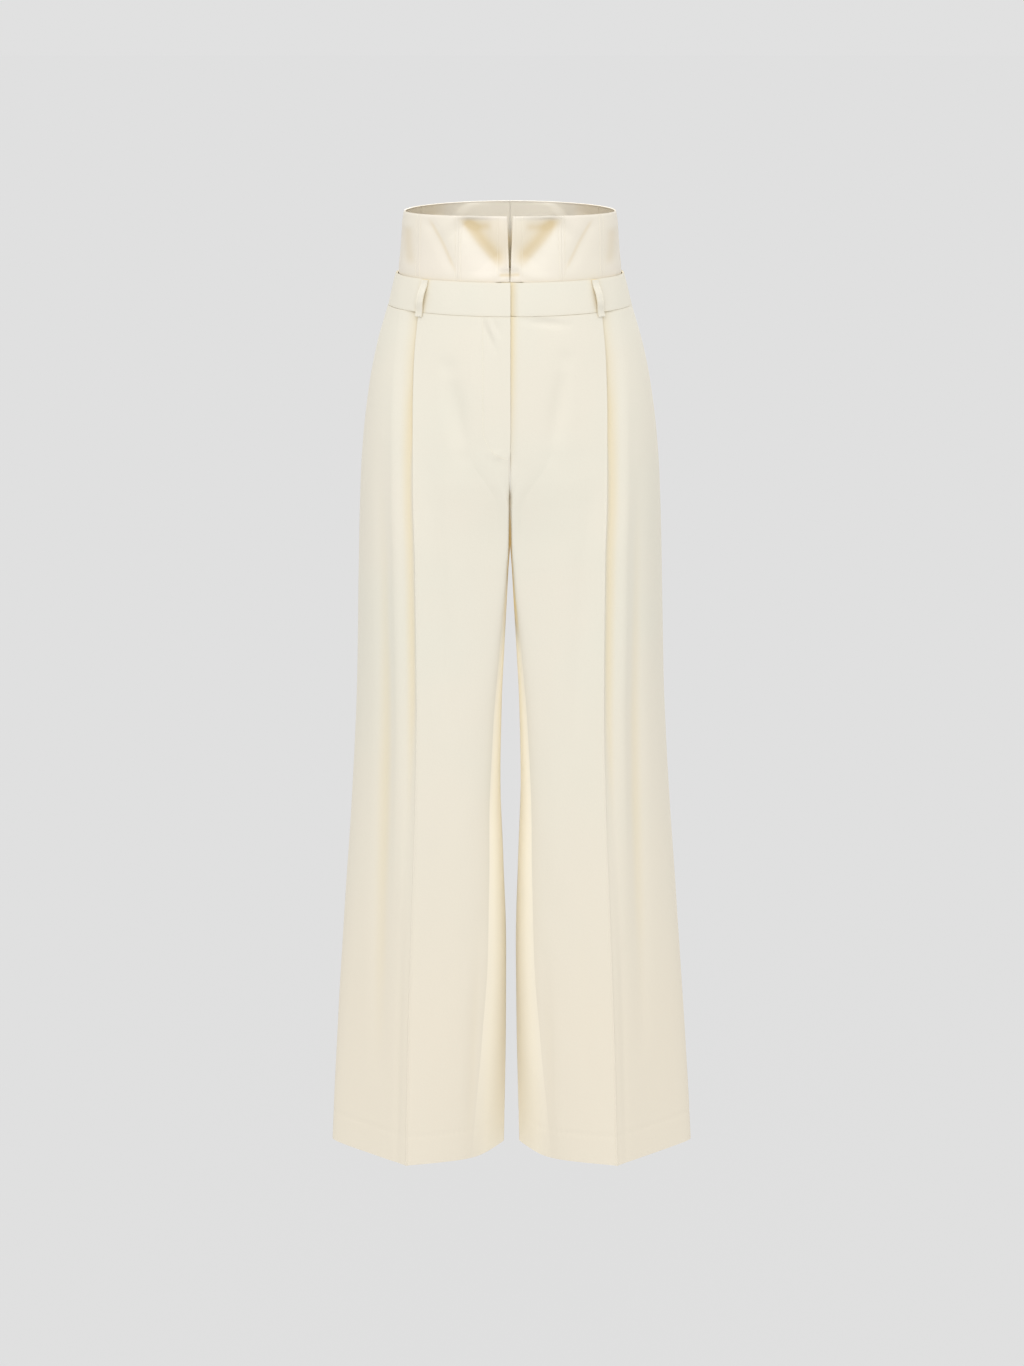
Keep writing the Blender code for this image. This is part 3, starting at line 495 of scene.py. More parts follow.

# Belt loops: angle round from the centre front, and the gap that a belt passes through. The front ones are
# pulled flatter.
LOOPS = (
    ("belt_loop_front_right", -46.8, 0.0034),
    ("belt_loop_front_left", 46.8, 0.0034),
    ("belt_loop_back_right", -130.0, 0.0056),
    ("belt_loop_back_left", 130.0, 0.0056),
    ("belt_loop_centre_back", 180.0, 0.0056),
)
LOOP_WIDTH = 0.010
LOOP_TOP = -0.0012
LOOP_BOTTOM = -0.0455
LOOP_FLAT = 0.0035  # each end lies flat for this far
LOOP_FULL = 0.019  # and past here it stands off fully
LOOP_ROWS = 46
LOOP_COLUMNS = 14
LOOP_STITCH = 0.0034  # distance of its lines of stitches from its middle
LOOP_PUFF = 0.0002
LOOP_GROOVE = (0.0003, 0.0006)  # depth and width of the groove under each line of stitches
LOOP_SHADE_WIDTH = 0.007
SATIN_STITCHES_ABOVE = 0.001  # height down to which the satin's stitches run

# Light between folds of ivory cloth turns golden, and that shade is painted into the colour. How much painted
# shade, from 0 to 1, and over which depths of a fold.
PAINTED_SHADE_IN_FOLDS = 0.42
PAINTED_SHADE_DEPTHS = (0.0008, 0.0060)
LOOP_PAINTED_SHADE = 0.5  # painted shade on the waistband under its loops
# Cloth that turns away towards the other leg is painted pale, as painted light: z, how pale it gets.
BACK_PAINTED_LIGHT = 0.55  # share of that on the back
INNER_PAINTED_LIGHT = (
    (-0.350, 0.60),
    (-0.390, 1.00),
    (-0.560, 0.90),
    (-0.700, 0.82),
    (-0.850, 0.62),
    (-1.150, 0.44),
)
PAINTED_LIGHT_DEPTHS = (0.0004, 0.0240)  # how far behind the panel's corner it starts, and where it is full
# Shade painted golden between the legs round the crotch: how far behind the panel's corner it starts and is
# full, where it ends low down, and where it starts at the top.
CROTCH_PAINTED_SHADE_DEPTHS = (0.0015, 0.0140)
CROTCH_PAINTED_SHADE_LOW = {1: (-0.470, -0.400), -1: (-0.380, -0.352)}  # where it ends on each side's front
BACK_CROTCH_PAINTED_SHADE_LOW = (-0.370, -0.351)
CROTCH_PAINTED_SHADE_TOP = (-0.250, -0.280)
# The inner side of the cloth: golden painted shade on the crepe; on the satin pale painted light in the
# middle, with painted shade at the sides and more low down.
INSIDE_CREPE_PAINTED_SHADE = 0.40
INSIDE_SATIN_PAINTED_LIGHT = -0.60
INSIDE_SATIN_SIDE_PAINTED_SHADE = 0.95  # more at the sides, past these distances from the middle
INSIDE_SATIN_SIDES = (0.05, 0.10)
INSIDE_SATIN_LOW_PAINTED_SHADE = 2.20  # and more still down in the shade, between these heights
INSIDE_SATIN_LOW = (0.060, 0.012)

# How brightly the crepe glows where it is painted pale or deep golden, a painted light, and the glow's
# colours.
PAINTED_PALE_GLOW = 0.12
PAINTED_GOLD_GLOW = 0.17
PAINTED_PALE_GLOW_COLOUR = (1.0, 0.95, 0.79, 1.0)
PAINTED_GOLD_GLOW_COLOUR = (1.0, 0.74, 0.24, 1.0)

# Colours of the cloth: two tones in soft patches, then those of the tables and attributes above: the pale
# ones are painted light, the golden ones and the satin's shade are painted shade.
CREPE_TONES = ((0.724, 0.684, 0.586, 1.0), (0.711, 0.682, 0.586, 1.0))
CREPE_LOW = (0.726, 0.666, 0.552, 1.0)  # towards the hem
CREPE_LOW_STARTS = (-0.45, -0.95)
CREPE_PAINTED_LIGHT = (0.874, 0.810, 0.665, 1.0)
CREPE_PAINTED_SHADE = (0.730, 0.635, 0.440, 1.0)
CREPE_DEEP_PAINTED_SHADE = (0.600, 0.490, 0.250, 1.0)
SATIN_TONES = ((0.755, 0.697, 0.600, 1.0), (0.742, 0.692, 0.590, 1.0))
SATIN_PAINTED_LIGHT = (0.880, 0.835, 0.730, 1.0)
SATIN_PAINTED_SHADE = (0.630, 0.510, 0.310, 1.0)
SATIN_SHADE = (0.240, 0.200, 0.110, 1.0)
THREAD_TONES = ((0.80, 0.74, 0.60, 1.0), (0.87, 0.83, 0.72, 1.0))

# Thread.
THREAD = 0.00022  # radius
STITCH = 0.0021
STITCH_GAP = 0.0007
STITCH_SIDES = 5
# A stitch: share along it, share of the thread's radius there, and how far it lies over the cloth in radii.
STITCH_PROFILE = ((0.0, 0.45, -0.9), (0.14, 1.0, 0.1), (0.5, 1.1, 0.55), (0.86, 1.0, 0.1), (1.0, 0.45, -0.9))
STITCH_LIFT = 0.3

LEG_MIDDLE = 0.12  # x of a line that stays inside a leg
DENSE = 361  # points of the curves that a section is read from
CORNER_FOCUS = 8  # how much the farthest points from the chord count in finding a panel's corner
SHARP_EDGE = 50.0  # degrees past which an edge isn't shaded smooth


def smooth(value, start, end):
    """0 before start, 1 after end and a smooth step between them."""
    share = np.clip((value - start) / (end - start), 0.0, 1.0)
    return share * share * (3 - 2 * share)


def part_way(start, end, share):
    """The value at this share of the way from start to end."""
    return start + (end - start) * share


def bump(distance, width):
    return np.exp(-((distance / width) ** 2))


def along(table, z):
    """The columns of a table at height z, on a smooth curve that doesn't overshoot its rows."""
    rows = np.array(table)[::-1] if table[0][0] > table[-1][0] else np.array(table)
    heights, values = rows[:, 0], rows[:, 1:]
    steps = np.diff(heights)[:, None]
    slopes = np.diff(values, axis=0) / steps
    tangents = np.zeros_like(values)
    inner = slopes[:-1] * slopes[1:]
    mean = 2 * inner / np.where(inner > 0, slopes[:-1] + slopes[1:], 1.0)
    tangents[1:-1] = np.where(inner > 0, mean, 0.0)
    tangents[0], tangents[-1] = slopes[0], slopes[-1]
    z = min(max(z, heights[0]), heights[-1])
    i = min(int(np.searchsorted(heights, z, side="right")) - 1, len(heights) - 2)
    t, step = (z - heights[i]) / steps[i, 0], steps[i, 0]
    return (
        values[i] * (1 + 2 * t) * (1 - t) ** 2
        + values[i + 1] * t * t * (3 - 2 * t)
        + tangents[i] * step * t * (1 - t) ** 2
        - tangents[i + 1] * step * t * t * (1 - t)
    )


def evenly(points):
    """The same curve with its points evenly spaced along it."""
    far = np.concatenate([[0.0], np.cumsum(np.linalg.norm(np.diff(points, axis=0), axis=1))])
    at = np.linspace(0.0, far[-1], DENSE)
    return np.column_stack([np.interp(at, far, points[:, i]) for i in range(points.shape[1])])


def turn(start, corner, end, sharpness):
    """A conic arc from start to end round a corner, tighter the sharper it is."""
    t = smooth(np.linspace(0.0, 1.0, DENSE), 0.0, 1.0)[:, None]
    a, b, c = (1 - t) ** 2, 2 * sharpness * t * (1 - t), t * t
    return evenly((a * start + b * corner + c * end) / (a + b + c))


def ring(half_width, depth, start, end):
    """Part of an oval, from one angle to another, as x and depth."""
    angles = np.radians(np.linspace(start, end, DENSE))
    return evenly(np.column_stack([half_width * np.sin(angles), depth * np.cos(angles)]))


def half_section(z, facing):
    """The outline of a front or back panel at height z: from its inner edge to the crease, and on to the side
    seam. Columns are x and depth."""
    edge_table, bend_table, crease_table = (
        (FRONT_EDGE, FRONT_BEND, FRONT_CREASE) if facing < 0 else (BACK_EDGE, BACK_BEND, BACK_CREASE)
    )
    edge = along(edge_table, z)
    bend_x, bend_depth, bend_sharpness = along(bend_table, z)
    crease_x, crease_depth, hip_depth, hip_sharpness = along(crease_table, z)
    side_x, side_y = along(SIDE_LINE, z)
    crease, side = np.array([crease_x, crease_depth]), np.array([side_x, facing * side_y])
    inner = turn(edge, np.array([bend_x, bend_depth]), crease, bend_sharpness)
    outer = turn(crease, np.array([side_x, hip_depth]), side, hip_sharpness)
    waist = smooth(z, WAIST_ROUND_TO, BAND_BOTTOM)
    if waist > 0:
        crease_angle = math.degrees(math.asin(crease_x / side_x))
        depth = along(WAIST_DEPTHS, z)[0 if facing < 0 else 1]
        inner = (1 - waist) * inner + waist * ring(side_x, depth, 0.0, crease_angle)
        outer = (1 - waist) * outer + waist * ring(side_x, depth, crease_angle, 90.0)
    return inner, outer


class Outline:
    """A section's outline, read by the distance from the crease: minus towards the inner edge."""

    def __init__(self, inner, outer):
        self.points = np.concatenate([inner, outer[1:]])
        steps = np.linalg.norm(np.diff(self.points, axis=0), axis=1)
        far = np.concatenate([[0.0], np.cumsum(steps)])
        self.inner_length = far[len(inner) - 1]
        self.outer_length = far[-1] - self.inner_length
        self.far = far - self.inner_length
        chord = (inner[-1] - inner[0]) / np.linalg.norm(inner[-1] - inner[0])
        away = (inner - inner[0]) @ np.array([-chord[1], chord[0]])
        weight = np.maximum(away, 0.0) ** CORNER_FOCUS
        self.corner = float((self.far[: len(inner)] * weight).sum() / weight.sum())
        ways = np.gradient(self.points, self.far, axis=0)
        ways /= np.linalg.norm(ways, axis=1)[:, None]
        self.inwards = np.column_stack([ways[:, 1], -ways[:, 0]])

    def at(self, far, inwards=0.0):
        """Points of the outline as x and depth, moved inwards."""
        points = np.column_stack([np.interp(far, self.far, self.points[:, i]) for i in (0, 1)])
        normals = np.column_stack([np.interp(far, self.far, self.inwards[:, i]) for i in (0, 1)])
        normals /= np.linalg.norm(normals, axis=1)[:, None]
        return points + normals * np.reshape(inwards, (-1, 1))


def rounded(points, span):
    """A curve that passes the points from the second to the last but one, with no loops between them."""
    found = []
    for p0, p1, p2, p3 in zip(points, points[1:], points[2:], points[3:]):
        t1 = np.linalg.norm(p1 - p0) ** 0.5
        t2 = t1 + np.linalg.norm(p2 - p1) ** 0.5
        t3 = t2 + np.linalg.norm(p3 - p2) ** 0.5
        t = np.linspace(t1, t2, span, endpoint=False)[:, None]
        a1 = (t1 - t) / t1 * p0 + t / t1 * p1
        a2 = (t2 - t) / (t2 - t1) * p1 + (t - t1) / (t2 - t1) * p2
        a3 = (t3 - t) / (t3 - t2) * p2 + (t - t2) / (t3 - t2) * p3
        b1 = (t2 - t) / t2 * a1 + t / t2 * a2
        b2 = (t3 - t) / (t3 - t1) * a2 + (t - t1) / (t3 - t1) * a3
        found.append((t2 - t) / (t2 - t1) * b1 + (t - t1) / (t2 - t1) * b2)
    return np.concatenate(found)


def pleat_curve(z):
    """Distance from the crease and depth of the cloth from just before the fold's edge to past the pleat."""
    points = np.array(PLEAT_STATES[PLEAT_OPENING[0][1]])
    for (top, _), (low, state) in zip(PLEAT_OPENING, PLEAT_OPENING[1:]):
        points = part_way(points, np.array(PLEAT_STATES[state]), smooth(z, top, low))
    before = [(2 * PLEAT_START, 0.0), (PLEAT_START, 0.0), (PLEAT_START / 3, 0.0), (0.0, 0.0)]
    after = [(PLEAT_END, 0.0), (PLEAT_FADES, 0.0)]
    return rounded(np.array([*before, *points, *after]), PLEAT_SPAN)


def fold_depth(folds, z, far):
    """How far the soft folds push the cloth inwards at height z and these distances from the crease."""
    total = np.zeros_like(far)
    for top, low, far_top, far_low, width, depth in folds:
        share = (top - z) / (top - low)
        if 0 < share < 1:
            centre = part_way(far_top, far_low, share)
            total += depth * math.sin(math.pi * share) ** FOLD_FULLNESS * bump(far - centre, width)
    return total


def drag_depth(drags, x, z):
    """How far the drag lines push the cloth inwards at these places."""
    total = np.zeros_like(x)
    for x1, z1, x2, z2, width, depth in drags:
        line = np.array([x2 - x1, z2 - z1])
        share = np.clip(((x - x1) * line[0] + (z - z1) * line[1]) / (line @ line), 0.0, 1.0)
        away = np.hypot(x - x1 - share * line[0], z - z1 - share * line[1])
        total += depth * bump(away, width) * np.sin(math.pi * np.clip(share, *DRAG_ENDS))
    return total


def satin_fold(folds, x, z):
    """How far the drag lines push the satin inwards at a place, and how much golden shade is painted there.
    """
    deep, golden_painted_shade = 0.0, 0.0
    for x1, z1, x2, z2, near_width, far_width, depth, painted_shading, band, rest in folds:
        length = math.hypot(x2 - x1, z2 - z1)
        ahead = ((x - x1) * (x2 - x1) + (z - z1) * (z2 - z1)) / length**2
        aside = ((x - x1) * (z2 - z1) - (z - z1) * (x2 - x1)) / length
        aside += FOLD_WAVER * length * math.sin(WAVER_RATE * ahead + WAVER_SHIFT * x1)
        window = smooth(ahead, *FOLD_STARTS) * smooth(ahead, *FOLD_ENDS)
        away = math.hypot(aside, VALLEY) - VALLEY
        width, reach = (near_width, PAINTED_SHADE_REACH) if aside > 0 else (far_width, VALLEY)
        deep += depth * window * math.exp(-((away / width) ** VALLEY_SHAPE))
        golden_painted_shade += window * rest * math.exp(-((aside / reach) ** 2))
        golden_painted_shade += window * (painted_shading - rest) * math.exp(-(((aside - PAINTED_SHADE_MIDDLE * band) / band) ** 2))
    return deep, golden_painted_shade


def swelling(z, far, outline):
    """How far a panel swells out at these distances from the crease."""
    share = np.clip(1 - far / outline.corner, 0.0, 1.0)
    return along(SWELL, z)[0] * np.sin(math.pi * share)


def ripple(x, z, side):
    """How far the faint unevenness pushes the cloth inwards."""
    total = 0.0
    for height, *waves in RIPPLES:
        wave = height
        for by_x, by_z, times in waves:
            wave = wave * np.sin(by_x * x + by_z * z + times * RIPPLE_SHIFT * side)
        total = total + wave
    return total


def fly_edge(z, over):
    """Where the centre front edge of the upper or lower layer lies: distance past the centre, and depth."""
    fade = 1 - smooth(z, FLY_FULL_TO, FLY_END)
    if over:
        return FLY_OVER * fade - SEAM / 2 * (1 - fade), 0.0
    step = FLY_STEP * (1 - smooth(z, FLY_END, FLY_STEP_END))
    return FLY_UNDER * fade - SEAM / 2 * (1 - fade), step


def front_dip(x, deepest):
    """How much lower an edge of the waistband lies than at the side seam, by its distance from the centre."""
    return deepest * np.maximum(1 - (x / SIDE_LINE[1][1]) ** 2, 0.0)


def heights_down(start, stretches):
    found = [start]
    for end, step in stretches:
        count = round((found[-1] - end) / step)
        found += list(np.linspace(found[-1], end, count + 1)[1:])
    return found


def between(start, end, columns, crowding=1.0):
    """Distances from an edge: close together near it, and with crowding above 1 again at the far end."""
    near = start + np.array(EDGE_COLUMNS)
    shares = 1 - np.linspace(1.0, 0.0, columns + 1)[1:] ** crowding
    return np.concatenate([near, part_way(near[-1], end, shares)])


def to_crease(outline, start, columns, end):
    """Distances from a panel's inner edge past its corner to the pleat or crease, close at the corner."""
    to_corner = between(start, outline.corner, columns[0], CORNER_CROWDING)
    shares = np.linspace(0.0, 1.0, columns[1] + 1)[1:-1] ** CORNER_CROWDING
    return np.concatenate([to_corner, part_way(outline.corner, end, shares)])


def sewn_edge(distance, roll=SEAM_ROLL, width=SEAM_ROLL_WIDTH):
    """How far the cloth rolls in along a seam."""
    return roll * bump(distance, width)


def fly_stitch_line():
    """The stitched line of the fly on the wearer's right front, as x and z."""
    down, round_curve = FLY_STITCH_POINTS
    straight = [(FLY_STITCH_X, z) for z in np.linspace(FLY_STITCH_TOP, FLY_STITCH_CURVE, down)]
    reach, drop = FLY_STITCH_X - FLY_STITCH_END_X, FLY_STITCH_CURVE - FLY_STITCH_END
    turned = np.radians(np.linspace(0, 90, round_curve)[1:])
    turned_x = FLY_STITCH_X - reach * (1 - np.cos(turned))
    turned_z = FLY_STITCH_CURVE - drop * np.sin(turned)
    return np.concatenate([straight, np.column_stack([turned_x, turned_z])])


def line_groove(x, z, line, depth, width):
    """A narrow groove along a line of stitches."""
    nearest = np.min(np.hypot(x[:, None] - line[None, :, 0], z - line[None, :, 1]), axis=1)
    return depth * bump(nearest, width)


def hem_dent(z, far):
    """The faint dent where the hem's turning is caught, deeper at each blind stitch."""
    even, uneven, rate = HEM_STITCHES
    return HEM_DENT * bump(z - HEM - HEM_TURNING, HEM_DENT_WIDTH) * (even + uneven * np.sin(far * rate))


def front_grid(side):
    """Points, distances across the cloth and the painted light and shade there, for a front panel."""
    rows, fars, painted_shadings = [], [], []
    stitched = fly_stitch_line()
    for z in heights_down(PANEL_TOP, PANEL_ROWS):
        outline = Outline(*half_section(z, -1))
        past_centre, sunk = fly_edge(z, over=side < 0)
        start = -outline.inner_length - (past_centre if z > FLY_END else 0.0)
        if z <= CROTCH:
            start += SEAM / 2
        to_pleat = to_crease(outline, start, FRONT_COLUMNS, PLEAT_START)
        pleat = pleat_curve(z)
        last = outline.outer_length - SEAM / 2
        to_side = last - between(0.0, last - PLEAT_END, FRONT_COLUMNS[2])[::-1]
        far = np.concatenate([to_pleat, pleat[:, 0], to_side])
        inner = len(to_pleat)
        deep = np.zeros_like(far)
        deep[inner : inner + len(pleat)] = pleat[:, 1]
        deep -= CREASE_RIDGE * bump(far, CREASE_RIDGE_WIDTH) * smooth(z, *FRONT_RIDGE_STARTS)
        from_centre = far + outline.inner_length
        x = outline.at(np.abs(from_centre) - outline.inner_length)[:, 0]
        drags = drag_depth(FRONT_DRAGS[side], x, z)
        fold = fold_depth(FRONT_FOLDS[side], z, far) + drags
        fold[inner:] *= smooth(far[inner:], *FOLDS_PAST_PLEAT)
        fold[inner + len(pleat) :] *= smooth((to_side - PLEAT_END) / (last - PLEAT_END), 1.0, FOLDS_END)
        deep += fold + ripple(x, z, side) * smooth(x, 0.0, RIPPLE_FADE) - swelling(z, far, outline)
        deep += sunk * smooth(from_centre, *FLY_RAMP) + hem_dent(z, far)
        deep += sewn_edge(last - far) + sewn_edge(z - PANEL_TOP, WAIST_SEAM_ROLL)
        if z <= FLY_END:
            deep += sewn_edge(far - start, CENTRE_SEAM_ROLL, CENTRE_SEAM_ROLL)
        if side < 0:
            deep += line_groove(x, z, stitched, *FLY_STITCH_GROOVE)
        points = outline.at(np.abs(from_centre) - outline.inner_length, deep)
        points[:, 0] = np.where(from_centre < 0, from_centre, np.maximum(points[:, 0], SEAM / 2))
        dip = BAND_BOTTOM_DIP * smooth(z, BAND_DIP_FADES_AT, BAND_BOTTOM)
        rows.append(placed(points, z - front_dip(points[:, 0], dip), z, side, -1))
        fars.append(far)
        # painted shade in folds and between the legs, painted light between the legs, painted shadow beside
        # the fly
        behind = behind_corner(FRONT_BEND, z, far, outline)
        painted_shading = leg_painted_shading(z, deep - drags, behind, CROTCH_PAINTED_SHADE_LOW[side])
        # painted shadow beside the fly's edge
        if side > 0:
            painted_shading += painted_shadow_beside_fly(x) * smooth(z, *FLY_PAINTED_SHADOW_RANGE)
        painted_shadings.append(np.clip(painted_shading, -1.0, 1.0))
    return np.array(rows), np.array(fars), np.array(painted_shadings)


def back_grid(side):
    """The same for a back panel."""
    rows, fars, painted_shadings = [], [], []
    for z in heights_down(PANEL_TOP, PANEL_ROWS):
        outline = Outline(*half_section(z, 1))
        start = -outline.inner_length + (SEAM / 2 if z <= CROTCH else 0.0)
        to_ridge = to_crease(outline, start, BACK_COLUMNS, 0.0)
        last = outline.outer_length - SEAM / 2
        to_side = last - between(0.0, last, BACK_COLUMNS[2])[::-1]
        far = np.concatenate([to_ridge, to_side])
        inner = len(to_ridge)
        x = outline.at(far)[:, 0]
        fold = fold_depth(BACK_FOLDS[side], z, far) + drag_depth(BACK_DRAGS[side], x, z)
        fold[:inner] *= smooth((far[:inner] - start) / (outline.corner - start), 0.0, FOLDS_PAST_INSEAM)
        fold[inner:] *= smooth(to_side / last, 1.0, FOLDS_END)
        deep = fold + ripple(x, z, side + 2) * smooth(x, 0.0, RIPPLE_FADE) + hem_dent(z, far)
        deep -= swelling(z, far, outline)
        deep -= CREASE_RIDGE * bump(far, CREASE_RIDGE_WIDTH) * smooth(z, *BACK_RIDGE_STARTS)
        deep += sewn_edge(last - far) + sewn_edge(far - start) + sewn_edge(z - PANEL_TOP, WAIST_SEAM_ROLL)
        dart_share = (PANEL_TOP - z) / (PANEL_TOP - DART_POINT)
        if dart_share < 1:
            dart_x = part_way(DART_TOP_X, DART_POINT_X, dart_share)
            deep += DART_DEPTH * (1 - dart_share) ** DART_FADE * bump(x - dart_x, DART_WIDTH)
        points = outline.at(far, deep)
        points[:, 0] = np.maximum(points[:, 0], SEAM / 2)
        rows.append(placed(points, np.full(len(points), z), z, side, 1))
        fars.append(far)
        behind = behind_corner(BACK_BEND, z, far, outline)
        # painted shade in folds and between the legs, and painted light between the legs
        painted_shading = leg_painted_shading(z, deep, behind, BACK_CROTCH_PAINTED_SHADE_LOW, BACK_PAINTED_LIGHT)
        painted_shadings.append(np.clip(painted_shading, -1.0, 1.0))
    return np.array(rows), np.array(fars), np.array(painted_shadings)


def placed(points, heights, level, side, facing):
    """Points of the garment from their x and depth on the wearer's left."""
    sway = SWAY_AT_HEM * (level / HEM) ** 2
    return np.column_stack([side * points[:, 0] + sway, facing * points[:, 1], heights])


def waist_point(z, angle):
    """Points of the waist's outer ring as x and depth, and the way outwards there. The angle runs from the
    centre front."""
    half_width, _ = along(SIDE_LINE, z)
    front, back = along(WAIST_DEPTHS, z)
    depth = np.where(np.abs(angle) < 90, front, back)
    turned = np.radians(angle)
    points = np.column_stack([half_width * np.sin(turned), depth * np.cos(turned)])
    outwards = np.column_stack([np.sin(turned) / half_width, np.cos(turned) / depth])
    return points, outwards / np.linalg.norm(outwards, axis=1)[:, None]


def painted_shadow_beside_fly(x):
    """The shadow painted golden on the lower layer beside the fly's edge."""
    return FLY_PAINTED_SHADOW * bump(np.maximum(x - FLY_OVER, 0.0), FLY_PAINTED_SHADOW_WIDTH)


def behind_corner(bends, z, far, outline):
    """How far behind its corner a panel lies at these distances from the crease."""
    return np.where(far < outline.corner, along(bends, z)[1] - outline.at(far)[:, 1], 0.0)


def leg_painted_shading(z, deep, behind, low, share=1.0):
    """Golden painted shade on a leg's cloth in its folds, along the waist seam and between the legs, and with
    a minus the pale painted light between the legs."""
    crotch = smooth(z, *low)
    golden_painted_shade = crotch * smooth(z, *CROTCH_PAINTED_SHADE_TOP) * smooth(behind, *CROTCH_PAINTED_SHADE_DEPTHS)
    pale_painted_light = (1 - crotch) * share * along(INNER_PAINTED_LIGHT, z)[0]
    between_legs = golden_painted_shade - pale_painted_light * smooth(behind, *PAINTED_LIGHT_DEPTHS)
    at_waist = WAIST_SEAM_PAINTED_SHADE * bump(z - PANEL_TOP, SEAM_ROLL_WIDTH)
    return PAINTED_SHADE_IN_FOLDS * smooth(deep, *PAINTED_SHADE_DEPTHS) + between_legs + at_waist


def waistband_grid(side):
    """Half the waistband, from its centre front end to the centre back."""
    rows, fars, painted_shadings = [], [], []
    height, by_angle, by_share, slant = BAND_RIPPLE
    for share in np.linspace(0.0, 1.0, BAND_ROWS):
        level = part_way(BAND_TOP, BAND_BOTTOM, share)
        half_width = along(SIDE_LINE, level)[0]
        end = -BAND_UNDER if side > 0 else -FLY_OVER
        first = math.degrees(end / half_width)
        angle = part_way(first, 180.0, np.linspace(0.0, 1.0, BAND_COLUMNS) ** BAND_CROWDING)
        points, outwards = waist_point(level, angle)
        x = points[:, 0]
        edge = np.minimum(share, 1 - share) * (BAND_TOP - BAND_BOTTOM)
        sink = sewn_edge(edge, WAIST_SEAM_ROLL, BAND_ROLL_WIDTH) - BAND_PUFF * math.sin(math.pi * share)
        sink = sink + height * np.sin(angle * by_angle + side) * np.sin(share * by_share + angle * slant)
        if side > 0:
            sink = sink + BAND_STEP * np.where(angle < 90, smooth(x, *FLY_RAMP), 0.0)
        points -= outwards * np.reshape(sink, (-1, 1))
        points[-1, 0] = SEAM / 2
        dip = part_way(BAND_TOP_DIP, BAND_BOTTOM_DIP, share)
        heights = level - np.where(angle < 90, front_dip(x, dip), 0.0)
        rows.append(np.column_stack([side * points[:, 0], -points[:, 1], heights]))
        steps = np.linalg.norm(np.diff(points, axis=0), axis=1)
        fars.append(np.concatenate([[0.0], np.cumsum(steps)]))
        # painted shade along the band's edges, under its loops and beside the fly
        painted_shading = np.full_like(angle, WAIST_SEAM_PAINTED_SHADE * bump(edge, SEAM_ROLL_WIDTH))
        for _, loop_angle, _ in LOOPS:
            painted_shading += LOOP_PAINTED_SHADE * bump(np.radians(angle - side * loop_angle) * half_width, LOOP_SHADE_WIDTH)
        if side > 0:
            painted_shading += painted_shadow_beside_fly(x) * (angle < 90)
        painted_shadings.append(np.clip(painted_shading, -1.0, 1.0))
    return np.array(rows), np.array(fars), np.array(painted_shadings)


def corset_point(z, angle, sink):
    """A point of the corset's ring as x and depth, moved inwards by sink."""
    half_width, front, back = along(CORSET_RING, z)
    depth = front if angle < 90 else back
    turned = math.radians(angle)
    outwards = np.array([math.sin(turned) / half_width, math.cos(turned) / depth])
    outwards /= np.linalg.norm(outwards)
    return np.array([half_width * math.sin(turned), depth * math.cos(turned)]) - outwards * sink


def corset_seam_relief(far, length, boned):
    """How far the cloth stands off at these distances from the panel's first edge: boning channels, and the
    stitched lines beside them."""
    total = 0.0
    for distance, has_bone in ((far, boned[0]), (length - far, boned[1])):
        if has_bone:
            past = distance - CHANNEL
            total += CHANNEL_RISE * (1 - smooth(past, 0.0, CHANNEL_SLOPE))
            total -= CHANNEL_GROOVE * bump(past - CHANNEL_SLOPE / 2, CHANNEL_GROOVE_WIDTH)
        total -= sewn_edge(distance, CORSET_SEAM_ROLL, CORSET_SEAM_WIDTH)
    return total


def notch_relief(far, x):
    """The same for the edge of the notch, this far away, and for the stitched line of the facing."""
    total = sum(height * bump(far - middle, width) for middle, height, width in NOTCH_EDGE)
    depth, width = FACING_GROOVE
    return total - depth * bump(x - FACING_STITCH, width)


